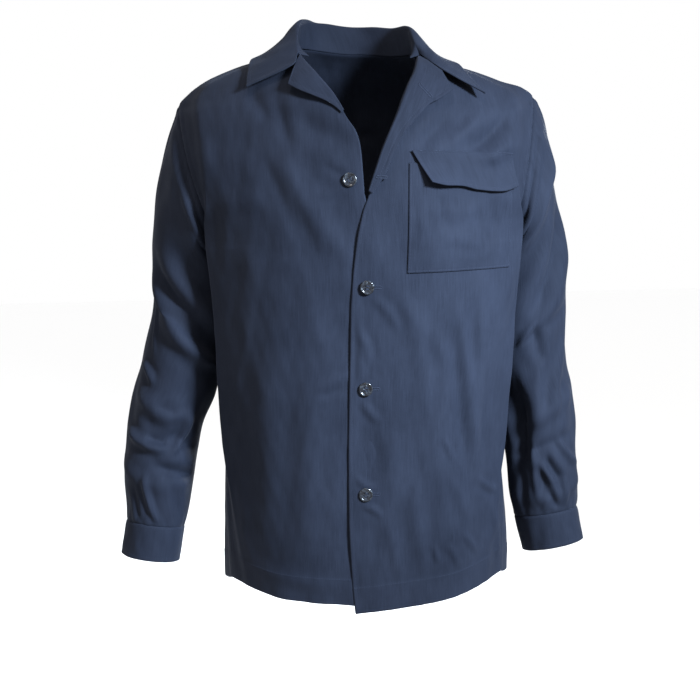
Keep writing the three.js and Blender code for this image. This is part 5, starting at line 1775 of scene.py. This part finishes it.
def button(name, seat, out, spin=0.0):
    """A button with its face turned the way out, and the thread that crosses it."""
    mesh = blank.copy()
    turn = Vector((0, 0, 1)).rotation_difference(Vector(out)).to_matrix().to_4x4()
    place = Matrix.Translation(Vector(seat)) @ turn @ Matrix.Rotation(spin, 4, "Z")
    mesh.transform(Matrix.Scale(MM, 4) @ place)
    obj = bpy.data.objects.new(name + "_turned", mesh)
    bpy.context.scene.collection.objects.link(obj)
    mesh.materials.clear()
    mesh.materials.append(horn_finish)
    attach(obj, "root")
    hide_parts(name)
    bars = []
    for x in (-1, 1):
        for shift in BUTTON_THREAD["strands"]:
            bars.append([x * BUTTON_HOLES["out"] + shift, 0, BUTTON_THREAD["height"]])
    spots = np.array([place @ Vector(bar) for bar in bars])
    way = np.array([(place.to_3x3() @ Vector((0, 1, 0)))[:]] * len(bars))
    outs = np.array([list(out)] * len(bars))
    threads(name + "_thread", spots, way, outs, BUTTON_THREAD["length"], BUTTON_THREAD["radius"])
    return obj


SEAT = 1.1
SPIN = 0.12
TOP_BUTTON = dict(spot=(-15.0, -169.0), spin=0.5)
LAPEL_BUTTON = dict(down=0.3, across=0.5, gap=2.1)
for name, (x, z) in BUTTONS.items():
    out = out_of_front(float(x), float(z))
    seat = settled(on_front(float(x), float(z)) + out * SEAT)
    button(name, seat, out, SPIN * len(name))
out = out_of_front(*TOP_BUTTON["spot"])
seat = on_front(*TOP_BUTTON["spot"]) + out * SEAT
seat[1] += lapped(TOP_BUTTON["spot"][0])
button("button_top", settled(seat), out, TOP_BUTTON["spin"])
spot = lapel_points(-1, LAPEL_BUTTON["down"], LAPEL_BUTTON["across"])
across = lapel_points(-1, LAPEL_BUTTON["down"], LAPEL_BUTTON["across"] + 0.1) - spot
down = lapel_points(-1, LAPEL_BUTTON["down"] + 0.05, LAPEL_BUTTON["across"]) - spot
inward = unit(np.cross(across, down))
inward = inward * np.sign(inward[1])
button("button_lapel", settled(spot + inward * LAPEL_BUTTON["gap"]), inward)
print("buttons on the shirt:", len(BUTTONS) + 2)

# %% [markdown]
# A sheet of cloth keeps the size that it was cut to, whatever its creases do. The table of
# cuts lists that size, laid flat, for each piece; here the sheets are only counted.

# %% The sheets, counted
for name, cut in CUTS.items():
    extras = [stitches[name]] if name in stitches else []
print("sheets:", len(CUTS))

# %% [markdown]
# The room. A pale floor well below the hem, an even white sky, and four soft lights. The key
# light stands in front, on the side of the left sleeve, and has a narrow beam, so that half
# of the chest is brighter and the creases show. A weak one comes from above, one from the
# right, and one from behind so that the back can be seen too.

# %% The floor
FLOOR_Z = -1.45
FLOOR_REACH = 9.0
FLOOR_GREYS = (0.97, 0.97, 0.97, 1), (0.985, 0.985, 0.985, 1)
ground = bpy.data.meshes.new("floor")
corners = [(x * FLOOR_REACH, y * FLOOR_REACH, FLOOR_Z) for x, y in ((-1, -1), (1, -1), (1, 1), (-1, 1))]
ground.from_pydata(corners, [], [[0, 1, 2, 3]])
floor = bpy.data.objects.new("floor", ground)
bpy.context.scene.collection.objects.link(floor)
pale = Finish("pale_floor")
speck = pale.node("ShaderNodeTexNoise", None, {"Scale": 3.0, "Detail": 2.0})
tone = pale.mix(speck, *FLOOR_GREYS)
ground.materials.append(pale.done({"Base Color": tone, "Roughness": 0.9}))
floor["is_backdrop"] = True
print("floor", -FLOOR_Z, "metres below the neck")

# %% The lights and the sky
scene = bpy.context.scene
scene.view_settings.view_transform = "Standard"
sky = bpy.data.worlds.new("sky")
sky.use_nodes = True
sky.node_tree.nodes["Background"].inputs["Color"].default_value = (1.0, 1.0, 1.0, 1.0)
sky.node_tree.nodes["Background"].inputs["Strength"].default_value = 1.0
scene.world = sky


def soft_light(name, place, towards, size, watts, colour=(1, 1, 1), spread=180):
    data = bpy.data.lights.new(name, "AREA")
    data.shape = "DISK"
    data.size = size
    data.energy = watts
    data.color = colour
    data.spread = math.radians(spread)
    lamp = bpy.data.objects.new(name, data)
    lamp.location = place
    lamp.rotation_euler = (Vector(towards) - Vector(place)).to_track_quat("-Z", "Y").to_euler()
    lamp.visible_camera = False
    scene.collection.objects.link(lamp)
    print(name, watts, "watts")


soft_light("key", (1.05, -1.1, 0.42), (0.06, -0.13, -0.42), 0.35, 25, (0.80, 0.96, 1.12), 54)
soft_light("ceiling", (-0.35, -0.75, 1.35), (-0.05, -0.1, -0.2), 0.4, 18, (1.0, 0.9, 0.8))
soft_light("side", (-1.7, -1.0, 0.3), (-0.1, 0, -0.4), 0.5, 9, (1.0, 0.92, 0.84))
soft_light("behind", (0.75, 1.9, 0.15), (0.0, 0.1, -0.4), 0.5, 70, (0.9, 0.97, 1.06))

# %% [markdown]
# The camera stands where the photograph was taken from: a little above the middle of the
# shirt, looking slightly down, and turned by about one degree.

# %% The camera
CAMERA_AT = (-0.016, -1.635, -0.131)
PITCH_DOWN = math.radians(9.7)
ROLL = math.radians(-1.3)
LENS = 60.27
SENSOR = 36.0
forward = Vector((0, math.cos(PITCH_DOWN), -math.sin(PITCH_DOWN)))
level_right = Vector((1, 0, 0))
level_up = level_right.cross(forward)
right = math.cos(ROLL) * level_right + math.sin(ROLL) * level_up
up = -math.sin(ROLL) * level_right + math.cos(ROLL) * level_up
camera_data = bpy.data.cameras.new("camera")
camera_data.lens, camera_data.sensor_width = LENS, SENSOR
camera = bpy.data.objects.new("camera", camera_data)
camera.matrix_world = Matrix.Translation(CAMERA_AT) @ Matrix((right, up, -forward)).transposed().to_4x4()
scene.collection.objects.link(camera)
scene.camera = camera
print("camera", round((Vector(CAMERA_AT) - Vector((0, -0.1, -0.4))).length, 2), "metres from the chest")

# %% [markdown]
# Last, the dressed part is measured against its solids, and how far the looks reach past
# them is printed.

# %% Sizes, and the end
low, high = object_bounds()
lower = [round((a - b) / MM, 1) for a, b in zip(cad_low, low)]
upper = [round((b - a) / MM, 1) for a, b in zip(cad_high, high)]
print("grown by, mm:", lower, upper)
